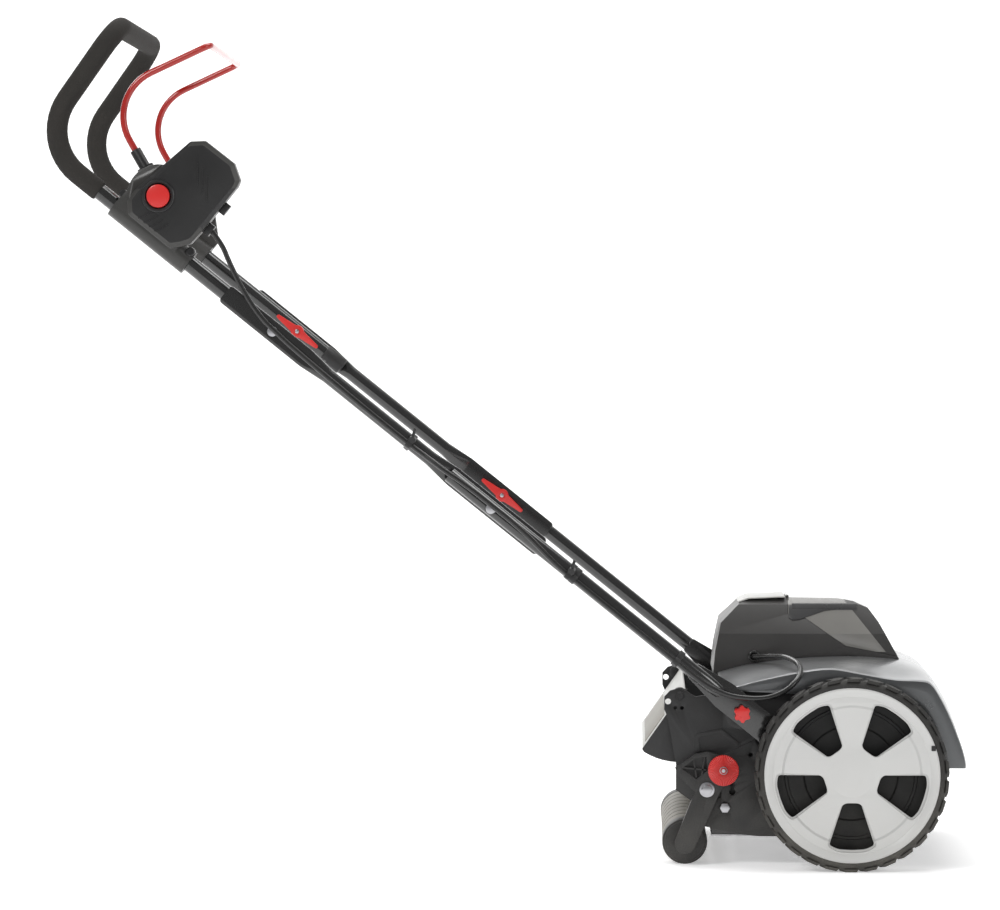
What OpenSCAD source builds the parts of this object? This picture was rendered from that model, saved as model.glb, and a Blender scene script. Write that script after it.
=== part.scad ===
// Cordless reel mower: two large front wheels, a height-adjustable rear roller, a driven
// cutting reel, a battery housing and a folding handle with a switch box and a wire bail.
// +X is forward, +Y is the left side, +Z is up. Millimetres.

/* [Deck] */
// Half the distance between the inner faces of the side plates
plate_in = 192; // [191:0.5:193]
// Thickness of a side plate
plate_t = 4; // [3.5:0.1:4]
// Half the width of the hood
hood_half = 208; // [206:0.5:210]
// Half the width of the battery housing
housing_half = 90; // [88:1:94]
// Wall thickness of the hood and the battery housing
shell_t = 3; // [2.5:0.5:3.5]

/* [Wheels] */
// Outside diameter of a wheel
wheel_d = 254; // [252:1:256]
// Width of a tyre
wheel_w = 40; // [36:1:42]
// Number of windows in a rim
rim_windows = 5; // [4:1:6]
// Radius of the stub axle
axle_r = 6; // [5:0.5:7]

/* [Reel] */
// Outside radius of the cutting reel
reel_r = 70; // [68:1:70]
// Number of helical blades
reel_blades_n = 6; // [4:1:7]
// Turn of a blade from one end to the other, in degrees
reel_twist = 70; // [50:5:90]

/* [Roller] */
// Radius of the rear roller
roller_r = 30; // [29:0.5:31]
// Half the length of the rear roller
roller_half = 188; // [184:1:189]
// Number of light segments along the roller
roller_segments_n = 8; // [6:1:10]
// Number of cutting heights
height_steps = 4; // [3:1:5]

/* [Handle] */
// Slope of the handle above the ground, in degrees
handle_slope = 38.8; // [38:0.2:40]
// Radius of the upper handle tube
upper_r = 11; // [10.5:0.1:11]
// Radius of the middle rails and the lower tubes
rail_r = 10; // [9:0.5:10]
// Wall thickness of the tubes
tube_t = 1.2; // [1:0.1:2]
// Radius of the foam grip
foam_r = 14; // [13:0.5:16]
// Radius of the bail wire
bail_r = 4.5; // [4:0.5:5]
// Radius of the cable
cable_r = 3.5; // [3:0.1:3.5]

/* [Hidden] */
$fn = 48;
eps = 0.5;             // overshoot of a cut past a face
gap = 0.3;             // room between faces on different bodies
fit = 0.05;            // radial room of a running fit

// Deck, in a frame whose X is 0 at the wheel axle and Z is 0 at the ground.
plate_out = plate_in + plate_t;
pad_out = 218.7;       // face that the handle brackets clamp against
wheel_r = wheel_d / 2;
wheel_in = 228;
wheel_out = wheel_in + wheel_w;
rim_r = 115.5;
rim_wall = 7;
rim_hub_r = 18;
reel_at = [-100, 112];
reel_half = 186;
reel_shaft_r = 8;
reel_pulley_r = 34;
bearing_r = 15;
motor_at = [30, 200];
motor_pulley_r = 14;
motor_r = 38;
belt_t = 3;
arm_at = [-189, 102];
arm_bolt_r = 4;
roller_at = [-218, roller_r];
index_at = [-167.4, 128.4];
index_reach = norm(index_at - arm_at);
index_angle = atan2(index_at[1] - arm_at[1], index_at[0] - arm_at[0]);
arm_swing = 58;
index_stem_r = 2.5;
flap_at = [-225, 225.5];
flap_pin_r = 3;
flap_half = 180;
ear_hole = [-240.6, 217.6];
ear_hole_r = 4;
carrier_bolt = [-165, 77];
rods = [[-190, 150], [60, 90], [98, 170]];
rod_r = 6;

plate_outline = [
  [-245.6, 207], [-245.6, 224], [-238, 232], [-225, 236], [-217, 232], [-204, 224], [-195, 225.5],
  [-165, 227], [-120, 237], [60, 238], [98, 232], [112, 210], [122, 170], [124, 140], [100, 110],
  [40, 80], [0, 70], [-60, 42], [-97, 39], [-119, 39], [-146, 41.5], [-172, 47], [-192, 52],
  [-205, 82], [-230, 100], [-230, 134], [-241, 196]
];
plate_rib = [[-203, 151], [-205, 170], [-201, 175], [-169.5, 182], [-146, 163], [-149, 159], [-170.5, 177],
  [-198, 171], [-200, 168], [-198, 151]];
guard_outline = [[-172, 145], [-126, 167], [-114, 150], [-60, 60], [-97, 39], [-119, 39], [-146, 41.5], [-172, 47],
  [-192, 52], [-196, 75], [-190, 90], [-170, 90]];

// Hood: rear tip, crease along the side, nose and lip; the crown is the raised middle.
hood_lip = [154, 130];
hood_crease = [[-173, 248], [-155, 238], [-119, 247], [-69, 258], [-27, 263], [59, 247], [108, 248], [119, 226],
  [133, 200], [149, 160], [154, 138], hood_lip];
hood_crown = [[-173, 248], [-116, 262], [-62, 268], [6, 270.5], [46, 268.5], [72, 266], [86, 260], [113, 248],
  [125, 226], [138, 200], [151, 160], [155.5, 138], [155.5, 130]];
crown_half = 150;
hood_side_low = [[122, 130], [118, 160], [105, 200], [60, 228], [-60, 228], [-150, 233]];

// Battery housing above the hood.
housing_base = [[72, 266.3], [46, 268.8], [6, 270.8], [-62, 268.3], [-116, 262.3], [-172, 248.3]];
housing_top = [[-179, 246], [-176, 277], [-168.5, 314], [-143, 339], [-130, 344], [-87, 346], [-9, 345],
  [12, 342], [31, 334], [44.5, 316], [58, 292]];
housing_front = [[housing_half, 230], [housing_half - 2, 300], [62, 338], [30, 346], [-30, 346], [-62, 338],
  [2 - housing_half, 300], [-housing_half, 230]];
lid_seam = -77;
lid_hinge = [lid_seam, 347];
lid_hinge_r = 2;
lid_barrel_half = 28;
lid_knuckle_to = 34;
lid_pin_r = 1;
lid_zone = [[lid_seam, 360], [100, 360], [100, 271], [66, 271], [0, 284], [-56, 322], [lid_seam, 326]];

// Handle line: s is the distance up the handle, v is the height above the line.
knob_x = -143.4;
knob_z = 209.5;
handle_pivot_s = -50;
stud_s = -3;
stud_v = -3.5;
handle_swing = 10;
lower_y = 229;
middle_y = 215;
upper_y = 200;
lower_from = 40;
lower_to = 495;
joint_low_s = 424;
joint_high_s = 796;
middle_from = 340;
middle_to = 877;
paddle_t = 7.4;
paddle_h = 27;
paddle_corner = 4;
upper_from = 728;
foam_from = 1092;
bend_s = 1130;
bend_r = 73;
bend_turn = 86.4;
grip_rise = 80;
grip_corner = 38;
bolt_r = 3;
wing_t = 10.7;

// Bail and switch box, both centred on the bail pivot.
bail_s = 1023;
bail_v = 46;
bail_x = knob_x - bail_s * cos(handle_slope) + bail_v * sin(handle_slope);
bail_z = knob_z + bail_s * sin(handle_slope) + bail_v * cos(handle_slope);
bail_slope = 119.8;
bail_y = 198;
bail_pin_r = 4;
drum_r = 42;
button_r = 15.3;
box_in = 218;
box_mid = 238;
box_out = 245;
cover_outline = [[-12, 82.5], [3, 95.5], [51, 96], [71, 83.5], [73.5, 75], [73.5, -2], [72, -22], [64.5, -33],
  [53.5, -44.5], [-16, -44], [-28.5, -30.5], [-29.5, -14.5], [-24.5, 15]];
web_outline = [[-42, -46], [-40, -20], [-20, 18], [-10, 26], [10, 26], [22, 16], [60, -20], [60, -46]];

// Cable along the handle, as distance up the handle, height above its line and distance from the middle.
cable_handle_route = [[940, 53, 226], [928, 50, 226], [914, 45, 226], [899, 37, 226], [870, 23, 226],
  [842, 12, 226], [815, 5, 227], [796, 3, 227], [770, 1, 227.5], [740, 0, 228.5], [700, -1, 229.5],
  [640, -2, 229.5], [565, -2, 229.5], [542, -1, 231.5], [520, 0, 238], [500, 1, 243], [475, 3, 244.5],
  [450, 4, 245.8], [424, 4, 246.4], [395, 4, 245], [360, 2, 244], [325, -2, 243.2], [300, -4, 242.6],
  [282, -4, 242.6], [262, -4, 242.6], [220, -4, 243], [160, -4, 243], [130, -4, 242.6], [108, -4, 242.6]];
// Cable over the deck, from the last clip to the grommet, in the deck's frame.
cable_deck_route = [[-230, -242.6, 274], [-212.9, -242.6, 260.3], [-190, -243.5, 243.5], [-163, -243.5, 231],
  [-136, -242, 226.5], [-110, -239, 227], [-88, -236, 235], [-73, -228, 247], [-66, -214, 257],
  [-67, -200, 266], [-73, -180, 271], [-84, -155, 274], [-97, -130, 273.5], [-109, -114, 272],
  [-119, -104, 270.5], [-124, -97.5, 270], [-124, -90.4, 270]];
cable_sides = 10;
cable_lean = [0, -0.45, 0.9];
tube_sides = 16;
loop_lean = [0.49, 0.8, -0.35];

// The origin is on the ground at the middle of the footprint.
rear_x = knob_x - bend_s * cos(handle_slope) + bend_r * sin(handle_slope) - bend_r - foam_r;
front_x = 155.5;
axle_x = -(rear_x + front_x) / 2;

function flat(list) = [for (group = list) each group];
function unit(a) = a / norm(a);
// A smooth route through the points: the points themselves and one more between each two.
function smooth(p) = flat([for (i = [0:len(p) - 2])
  let (a = p[max(i - 1, 0)], b = p[i], c = p[i + 1], d = p[min(i + 2, len(p) - 1)])
  [b, (9 * (b + c) - a - d) / 16]]);
function route(p) = concat(smooth(p), [p[len(p) - 1]]);
function on_line(p) = [knob_x - p[0] * cos(handle_slope) + p[1] * sin(handle_slope), -p[2],
  knob_z + p[0] * sin(handle_slope) + p[1] * cos(handle_slope)];
function tangent(p, i) = unit(p[min(i + 1, len(p) - 1)] - p[max(i - 1, 0)]);

module from_axle() translate([axle_x, 0, 0]) children();
module on_handle(s = 0, v = 0)
  from_axle() translate([knob_x, 0, knob_z]) rotate([0, handle_slope, 0]) translate([-s, 0, v]) children();
module at_bail() from_axle() translate([bail_x, 0, bail_z]) children();
module both_sides() {
  children();
  mirror([0, 1, 0]) children();
}
module left_side() mirror([0, 1, 0]) children();
// A shape drawn in X and Z, as thick as the distances a to b from the middle, on the right side.
module plate(a, b) translate([0, -a, 0]) rotate([90, 0, 0]) linear_extrude(b - a) children();
module disc(at, r, a, b) plate(a, b) translate(at) circle(r = r);
module bar_along_x(r, from, to) translate([from, 0, 0]) rotate([0, 90, 0]) cylinder(r = r, h = to - from);

module ring2d(r, wall) difference() {
  circle(r = r);
  circle(r = r - wall);
}
// Half of a loop's route: a straight leg, a bend to the right, a straight rise and a corner inwards.
function loop_half(leg, bend, turn, rise, corner, half) =
  let (bent = [leg + bend * sin(turn), -bend * (1 - cos(turn))], ahead = [cos(turn), -sin(turn)])
  concat([[0, -half, 0]],
    [for (t = [0:8]) [leg + bend * sin(turn * t / 8), -half, -bend * (1 - cos(turn * t / 8))]],
    [for (t = [0:15:90]) let (at = bent + (rise + corner * sin(t)) * ahead)
      [at[0], corner * (1 - cos(t)) - half, at[1]]]);
function whole_loop(route) = concat(route, [for (i = [len(route) - 1:-1:0])
  [route[i][0], -route[i][1], route[i][2]]]);
// A rod swept along a list of points; lean is a direction that no part of the route follows.
module swept(p, r, sides, lean) {
  rings = [for (i = [0:len(p) - 1])
    let (t = tangent(p, i), a = unit(cross(lean, t)), b = cross(t, a))
    [for (k = [0:sides - 1]) p[i] + r * (cos(k * 360 / sides) * a + sin(k * 360 / sides) * b)]];
  last = (len(p) - 1) * sides;
  around = [for (i = [0:len(p) - 2], k = [0:sides - 1])
    let (n = (k + 1) % sides, j = i * sides) [j + k, j + sides + k, j + sides + n, j + n]];
  ends = [[for (k = [0:sides - 1]) k], [for (k = [sides - 1:-1:0]) last + k]];
  polyhedron(points = flat(rings), faces = concat(around, ends), convexity = 8);
}
// The handle's bent tube from a distance up the handle, longer at both ends by the overshoot.
module grip_loop(from, r, over = 0) on_handle(from - over) rotate([0, 180, 0])
  swept(whole_loop(loop_half(bend_s - from + over, bend_r, bend_turn, grip_rise, grip_corner, upper_y)),
    r, tube_sides, loop_lean);

// Deck ---------------------------------------------------------------------------------------
// Where the handle's stud travels, as an arc about the handle's pivot.
pivot_at = [knob_x - handle_pivot_s * cos(handle_slope), knob_z + handle_pivot_s * sin(handle_slope)];
stud_at = [knob_x - stud_s * cos(handle_slope) + stud_v * sin(handle_slope),
  knob_z + stud_s * sin(handle_slope) + stud_v * cos(handle_slope)];
module arc_slot(centre, depth, reach, a, b, r) translate(centre) {
  rotate([0, 0, a]) rotate_extrude(angle = b - a) translate([reach - r, 0]) square([2 * r, depth]);
  for (t = [a, b]) rotate([0, 0, t]) translate([reach, 0, 0]) cylinder(r = r + 0.2, h = depth);
}
module side_plate() {
  stud_reach = norm(stud_at - pivot_at);
  stud_angle = atan2(stud_at[1] - pivot_at[1], stud_at[0] - pivot_at[0]);
  cut = pad_out - plate_in + 2 * eps;
  difference() {
    union() {
      plate(plate_in, plate_out) polygon(plate_outline);
      plate(plate_out, plate_out + 2) polygon(plate_rib);
      plate(plate_out, plate_out + 2.5) polygon(guard_outline);
      disc(stud_at, 22, plate_out, pad_out);
      disc(pivot_at, 11, plate_out, pad_out);
      disc(arm_at, 9, plate_out, 199.6);
    }
    disc(ear_hole, ear_hole_r, plate_in - eps, plate_out + eps);
    for (hole = [[-231, 209], [-222, 209]]) disc(hole, 2.5, plate_in - eps, plate_out + eps);
    disc(flap_at, flap_pin_r, plate_in - eps, plate_out + eps);
    disc([-131, 147], 3, plate_in - eps, plate_out + 4);
    disc(carrier_bolt, 4, plate_in - eps, plate_out + 4);
    disc([0, wheel_r], axle_r, plate_in - eps, plate_out + eps);
    disc(reel_at, bearing_r, plate_in - eps, plate_out + 4);
    disc(pivot_at, 5, plate_in - eps, pad_out + eps);
    disc(arm_at, arm_bolt_r, plate_in - eps, 200);
    translate([0, eps - plate_in, 0]) rotate([90, 0, 0]) {
      arc_slot(pivot_at, cut, stud_reach, stud_angle - handle_swing - 1, stud_angle + handle_swing + 1, 3.4);
      arc_slot(arm_at, 12, index_reach, index_angle - arm_swing, index_angle, 2.8);
    }
    for (i = [0:height_steps - 1])
      let (t = index_angle - i * arm_swing / (height_steps - 1))
      disc(arm_at + index_reach * [cos(t), sin(t)], 4.3, plate_in - eps, plate_out + 4);
  }
}
module side_plate_right() color("#2b2b2c") from_axle() side_plate();
module side_plate_left() color("#2b2b2c") from_axle() left_side() difference() {
  side_plate();
  disc(motor_at, 6, plate_in - eps, plate_out + eps);
}
module tie_rods() color("#8a8a8c") from_axle()
  for (at = rods) translate([at[0], plate_in, at[1]]) rotate([90, 0, 0]) cylinder(r = rod_r, h = 2 * plate_in);
module stub_axles() color("#9a9a9c") from_axle() both_sides() {
  disc([0, wheel_r], 12, plate_in - 4, plate_in);
  disc([0, wheel_r], axle_r, plate_in, wheel_out - 13);
}
// Handle pivots, roller arm pivots, flap pins and knife carrier bolts.
module pivot_bolts() color("#b5b5b8") from_axle() both_sides() {
  disc(pivot_at, 5, plate_in, 223.3);
  disc(pivot_at, 8, 223.3, 226.5);
  disc(arm_at, arm_bolt_r, plate_in, 210.3);
  disc(arm_at, 10, 210.3, 212.3);
  plate(212.3, 217) translate(arm_at) circle(r = 7.5, $fn = 6);
  disc(flap_at, flap_pin_r, 181, plate_out);
  disc(flap_at, 5.3, plate_out, plate_out + 2);
  disc(carrier_bolt, 4, plate_in, plate_out + 2.5);
  plate(plate_out + 2.5, plate_out + 8) translate(carrier_bolt) circle(r = 7, $fn = 6);
}
module wheel_rim() difference() {
  union() {
    plate(wheel_in + 2, wheel_out - 2) translate([0, wheel_r]) ring2d(rim_r, rim_wall);
    disc([0, wheel_r], rim_r - rim_wall, wheel_out - 14, wheel_out - 6);
    disc([0, wheel_r], rim_hub_r, wheel_in + 1, wheel_out - 14);
  }
  disc([0, wheel_r], axle_r + fit, wheel_in, wheel_out - 12);
  for (i = [0:rim_windows - 1]) translate([0, 0, wheel_r]) rotate([0, i * 360 / rim_windows, 0])
    plate(wheel_in, wheel_out) polygon([[-12, -35], [12, -35], [31, -92.5], [19, -98.5], [-19, -98.5], [-31, -92.5]]);
}
module wheel_tyre() translate([0, -wheel_in, wheel_r]) rotate([90, 0, 0]) rotate_extrude()
  polygon([[rim_r, 2], [123, 0], [wheel_r, 5], [wheel_r, wheel_w - 5], [123, wheel_w], [rim_r, wheel_w - 2]]);
module rim_right() color("#c9c8c4") from_axle() wheel_rim();
module rim_left() color("#c9c8c4") from_axle() left_side() wheel_rim();
// The dark disc behind the windows of a rim.
module wheel_disc() plate(wheel_in + 3, wheel_in + 5) translate([0, wheel_r]) difference() {
  circle(r = rim_r - rim_wall);
  circle(r = rim_hub_r);
}
module wheel_disc_right() color("#1d1d1e") from_axle() wheel_disc();
module wheel_disc_left() color("#1d1d1e") from_axle() left_side() wheel_disc();
module tyre_right() color("#2a2a29") from_axle() wheel_tyre();
module tyre_left() color("#2a2a29") from_axle() left_side() wheel_tyre();

// Hood, housing and flap ---------------------------------------------------------------------
module hood_layer(outline, half) translate([0, half, 0]) rotate([90, 0, 0]) linear_extrude(2 * half)
  polygon(concat(outline, [[front_x - 33, 130], [60, 180], [-100, 180]]));
// The same outline moved down and inwards by the wall, with the ends let go past the shell.
module hood_hollow(outline, half) translate([0, half - shell_t, 0]) rotate([90, 0, 0])
  linear_extrude(2 * (half - shell_t))
  polygon(concat([for (p = outline) p + [-shell_t * 0.8, -shell_t]], [[60, 100], [-200, 100]]));
module hood() color("#a9aaac") from_axle() difference() {
  union() {
    hood_layer(hood_crease, hood_half);
    hood_layer(hood_crown, crown_half);
  }
  hood_hollow(hood_crease, hood_half);
  hood_hollow(hood_crown, crown_half);
  both_sides() plate(hood_half - 2 * shell_t, hood_half + eps)
    polygon(concat(hood_side_low, [[-200, 240], [-200, 60], [122, 60]]));
  translate([-200, -crown_half, 100]) cube([260, 2 * crown_half, 110]);
}
module housing_body(inset) intersection() {
  translate([0, housing_half, 0]) rotate([90, 0, 0]) linear_extrude(2 * housing_half)
    offset(delta = -inset) polygon(concat(housing_base, housing_top));
  translate([-200, 0, 0]) rotate([90, 0, 90]) linear_extrude(300) offset(delta = -inset) polygon(housing_front);
}
module lid_cut(grow) translate([0, housing_half + eps, 0]) rotate([90, 0, 0])
  linear_extrude(2 * (housing_half + eps)) offset(delta = grow) polygon(lid_zone);
module hinge_rod(r, half) translate([lid_hinge[0], half, lid_hinge[1]]) rotate([90, 0, 0]) cylinder(r = r, h = 2 * half);
module lid_knuckles(r, from, to) both_sides() disc(lid_hinge, r, from, to);
module battery_housing() color("#3f4041") from_axle() difference() {
  union() {
    difference() {
      housing_body(0);
      housing_body(shell_t);
      lid_cut(0.5);
    }
    lid_knuckles(lid_hinge_r, lid_barrel_half + gap, lid_knuckle_to);
  }
  hinge_rod(lid_hinge_r + gap, lid_barrel_half + gap);
  hinge_rod(lid_pin_r + fit, lid_knuckle_to - 1);
}
module battery_lid() color("#4a4b4d") from_axle() {
  difference() {
    intersection() {
      difference() {
        housing_body(0);
        housing_body(shell_t);
      }
      lid_cut(0);
    }
    lid_knuckles(lid_hinge_r + gap, lid_barrel_half + eps / 2, lid_knuckle_to + gap);
  }
  hinge_rod(lid_hinge_r, lid_barrel_half);
  hinge_rod(lid_pin_r, lid_knuckle_to - 1.2);
}
module top_panel() color("#b9bab9") from_axle() translate([0, 48, 0]) rotate([90, 0, 0]) linear_extrude(96)
  polygon([[-143, 339.3], [-130, 344.3], [-87, 346.3], [-80.5, 346.2], [-80.5, 348.2], [-87, 348.3],
    [-131, 346.3], [-145, 341]]);
// A raised strip along each upper edge of the lid.
module lid_bar() color("#6b6c6e") from_axle() difference() {
  intersection() {
    housing_body(-1.6);
    both_sides() plate(60, 67) polygon([[-72, 320], [16, 320], [16, 352], [-72, 352]]);
  }
  housing_body(0);
}
module battery() color("#2e2f30") from_axle() translate([-56, -38, 275]) cube([74, 76, 46]);
module cable_grommet() color("#1d1d1e") from_axle() difference() {
  disc([-124, 270], 8, housing_half + 0.1, housing_half + 6);
  disc([-124, 270], cable_r + 0.5, housing_half, housing_half + 6 + eps);
}
// The flap hangs on two pins and swings up to the rear.
flap_face_line = [[-219, 233], [-243, 199], [-275, 153], [-272.4, 151.4], [-240.5, 197.3], [-216.5, 231.3]];
module flap_face() color("#d6d6d3") from_axle()
  translate([0, flap_half, 0]) rotate([90, 0, 0]) linear_extrude(2 * flap_half) polygon(flap_face_line);
module flap_cheeks() color("#2b2b2c") from_axle() both_sides() difference() {
  plate(flap_half, flap_half + 4) {
    polygon(concat([[-214, 233], [-219, 233], [-243, 199], [-275, 153]],
      [for (t = [238:6:268]) flap_at + 90 * [cos(t), sin(t)]], [[-217, 218]]));
    translate(flap_at) circle(r = 10);
  }
  disc(flap_at, flap_pin_r + fit, flap_half - eps, flap_half + 5);
}

// Motor, belt and reel -----------------------------------------------------------------------
module motor_body() color("#55565a") from_axle() left_side() difference() {
  union() {
    disc(motor_at, motor_r, 70, plate_in);
    disc(motor_at, 14, 62, 70);
  }
  disc(motor_at, 4 + fit, 180, plate_in + eps);
}
module motor_pulley() color("#8d8e91") from_axle() left_side() {
  disc(motor_at, 4, 182, 209);
  disc(motor_at, motor_pulley_r, 200, 209);
}
module belt_shape(reel_side, motor_side) hull() {
  translate(reel_at) circle(r = reel_side);
  translate(motor_at) circle(r = motor_side);
}
module drive_belt() color("#1b1b1b") from_axle() left_side() plate(201, 208) difference() {
  belt_shape(reel_pulley_r + gap + belt_t, motor_pulley_r + gap + belt_t);
  belt_shape(reel_pulley_r + gap, motor_pulley_r + gap);
}
module belt_cover() color("#303132") from_axle() left_side() {
  plate(plate_out + 2.6, 211) difference() {
    belt_shape(reel_pulley_r + 6.5, motor_pulley_r + 7);
    belt_shape(reel_pulley_r + 4.5, motor_pulley_r + 5);
  }
  plate(211, 213.5) belt_shape(reel_pulley_r + 6.5, motor_pulley_r + 7);
}
module reel_shaft() color("#7d7e80") from_axle() {
  translate([reel_at[0], 210, reel_at[1]]) rotate([90, 0, 0]) cylinder(r = reel_shaft_r, h = 407);
  for (i = [-2:2]) translate([reel_at[0], i * 90 + 1.5, reel_at[1]]) rotate([90, 0, 0]) difference() {
    cylinder(r = reel_r - 8.4, h = 3);
    for (k = [0:reel_blades_n - 1]) rotate([0, 0, k * 360 / reel_blades_n])
      translate([36, 0, -eps]) cylinder(r = 11, h = 4);
  }
}
module reel_blades() color("#a7a8ab") from_axle() translate([reel_at[0], reel_half, reel_at[1]])
  rotate([90, 0, 0]) linear_extrude(2 * reel_half, twist = reel_twist, slices = 24, $fn = 4)
  for (k = [0:reel_blades_n - 1]) rotate([0, 0, k * 360 / reel_blades_n])
    translate([reel_r - 8, -1.5]) square([8, 3]);
module reel_pulley() color("#8d8e91") from_axle() left_side() plate(200, 209)
  translate(reel_at) ring2d(reel_pulley_r, reel_pulley_r - reel_shaft_r);
module reel_bearings() color("#9c9da0") from_axle() both_sides() plate(plate_in - 2, plate_out + 2)
  translate(reel_at) ring2d(bearing_r, bearing_r - reel_shaft_r - fit);
module bed_knife() color("#a0a1a3") from_axle() translate([0, 190, 0]) rotate([90, 0, 0]) linear_extrude(380)
  polygon([[-183, 38], [-97, 38], [-99, 41], [-183, 41]]);
module knife_carrier() color("#4c4d4f") from_axle() translate([0, 190, 0]) rotate([90, 0, 0])
  linear_extrude(380) polygon([[-183, 41], [-148, 41], [-158, 62], [-183, 62]]);

// Roller and its arms ------------------------------------------------------------------------
module roller_arms() color("#343536") from_axle() both_sides() difference() {
  plate(200, 210) {
    polygon([[-231, 131], [-224, 136], [-206, 148.5], [-189, 152], [-174, 148.5], [-160, 138], [-157, 122], [-172, 98],
      [-205.5, 24], [-230.5, 35], [-205, 99], [-229, 122]]);
    translate(roller_at) circle(r = 13.5);
    translate(index_at) circle(r = 11);
  }
  plate(204, 211) polygon([[-222, 130], [-205, 143], [-190, 146], [-188, 128], [-203, 116]]);
  disc(arm_at, arm_bolt_r + fit, 199, 211);
  disc(index_at, index_stem_r + fit, 199, 211);
  disc(roller_at, 5, 199, 208);
}
module roller_shaft() color("#9a9a9c") from_axle()
  translate([roller_at[0], 208, roller_at[1]]) rotate([90, 0, 0]) cylinder(r = 5, h = 416);
end_w = 34;
module roller_ends() color("#262627") from_axle() both_sides() difference() {
  union() {
    disc(roller_at, roller_r, roller_half - end_w, roller_half - 3);
    disc(roller_at, roller_r - 3, roller_half - 3, roller_half);
  }
  disc(roller_at, 5 + fit, roller_half - end_w - eps, roller_half + eps);
}
module roller_segments() color("#b4b2ad") from_axle() {
  span = 2 * (roller_half - end_w - 0.5) / roller_segments_n;
  for (i = [0:roller_segments_n - 1])
    translate([roller_at[0], roller_half - end_w - 0.5 - i * span, roller_at[1]]) rotate([90, 0, 0]) difference() {
      union() {
        translate([0, 0, 1.5]) cylinder(r = roller_r - 0.5, h = span - 3);
        cylinder(r = roller_r - 5, h = span - 0.2);
      }
      translate([0, 0, -eps]) cylinder(r = 5 + fit, h = span + 1);
    }
}
module index_knob() difference() {
  union() {
    disc(index_at, index_stem_r, plate_in - 2, 214);
    disc(index_at, 20.4, 214, 221);
    disc(index_at, 4.6, 221, 223);
  }
}
module index_knob_right() color("#d8302f") from_axle() index_knob();
module index_knob_left() color("#d8302f") from_axle() left_side() index_knob();

// Lower handle -------------------------------------------------------------------------------
module lower_tubes() color("#242425") on_handle() both_sides() difference() {
  union() {
    translate([0, -lower_y, 0]) difference() {
      bar_along_x(rail_r, -lower_to, -lower_from);
      bar_along_x(rail_r - tube_t, -lower_to - eps, -lower_from - 6);
    }
    plate(lower_y - rail_r, lower_y - rail_r + 4) {
      polygon([[-84, -11], [-84, 11], [-30, 19], [-handle_pivot_s, 19], [-handle_pivot_s, -19], [-30, -19]]);
      translate([-handle_pivot_s, 0]) circle(r = 19);
    }
  }
  disc([-handle_pivot_s, 0], 5 + fit, 218, 224);
  disc([-stud_s, stud_v], bolt_r, 218, 224);
  disc([-joint_low_s, 0], bolt_r, 218, 240);
}
// Carriage bolts of the lower joints and the studs of the star knobs.
module lower_bolts() color("#c4c5c8") on_handle() both_sides() {
  disc([-joint_low_s, 0], bolt_r, 197, lower_y + rail_r);
  disc([-joint_low_s, 0], 7, lower_y + rail_r, 242.2);
  disc([-stud_s, stud_v], bolt_r, plate_in - 0.2, 243);
  disc([-stud_s, stud_v], 6.5, plate_in - 3.2, plate_in - 0.2);
}
module star_knob() difference() {
  plate(225, 244) {
    circle(r = 8.8);
    for (k = [0:5]) rotate(k * 60 + 12) translate([8.2, 0]) circle(r = 3);
  }
  disc([0, 0], bolt_r + fit, 224, 243.3);
}
module star_knob_right() color("#d8302f") on_handle(stud_s, stud_v) star_knob();
module star_knob_left() color("#d8302f") on_handle(stud_s, stud_v) left_side() star_knob();

// Middle handle ------------------------------------------------------------------------------
module paddle(from, to, bolt_s) difference() {
  plate(middle_y - paddle_t / 2, middle_y + paddle_t / 2) {
    translate([paddle_corner - to, paddle_corner - paddle_h / 2])
      offset(r = paddle_corner) square([to - from - 2 * paddle_corner, paddle_h - 2 * paddle_corner]);
  }
  disc([-bolt_s, 0], bolt_r + fit, 210, 220);
}
round_from = 530;
round_to = 700;
module middle_rails() color("#242425") on_handle() both_sides() {
  paddle(middle_from, round_from, joint_low_s);
  paddle(round_to, middle_to, joint_high_s);
  translate([0, -middle_y, 0]) difference() {
    bar_along_x(rail_r, -round_to - 12, -round_from + 12);
    bar_along_x(rail_r - tube_t, -round_to + 2, -round_from - 2);
  }
}
module upper_joint_bolts() color("#c4c5c8") on_handle() both_sides() {
  disc([-joint_high_s, 0], bolt_r, 174, 218.8);
  disc([-joint_high_s, 0], 7, 218.8, 222);
}
// A nut with two wings that lie along the handle.
module wing_nut(face) difference() {
  union() {
    disc([0, 0], 9, face - wing_t, face);
    plate(face - wing_t + 1, face - 3) {
      for (side = [-1, 1]) hull() {
        circle(r = 6.5);
        translate([side * 34, 0]) circle(r = 2.6);
      }
    }
  }
  disc([0, 0], bolt_r + fit, face - wing_t - eps, face + eps);
}
wing_low_face = middle_y - paddle_t / 2 - 0.2;
wing_high_face = upper_y - upper_r - 0.2;
module wing_nut_lower_right() color("#d8302f") on_handle(joint_low_s) wing_nut(wing_low_face);
module wing_nut_lower_left() color("#d8302f") on_handle(joint_low_s) left_side() wing_nut(wing_low_face);
module wing_nut_upper_right() color("#d8302f") on_handle(joint_high_s) wing_nut(wing_high_face);
module wing_nut_upper_left() color("#d8302f") on_handle(joint_high_s) left_side() wing_nut(wing_high_face);

// Upper handle -------------------------------------------------------------------------------
module upper_handle_tube() color("#242425") difference() {
  grip_loop(upper_from, upper_r);
  grip_loop(upper_from, upper_r - tube_t, 1);
  on_handle() both_sides() disc([-joint_high_s, 0], bolt_r + fit, 185, 215);
}
module foam_grip() color("#1f1f1f") difference() {
  grip_loop(foam_from, foam_r);
  grip_loop(foam_from, upper_r + 0.1, 1);
}

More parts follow.
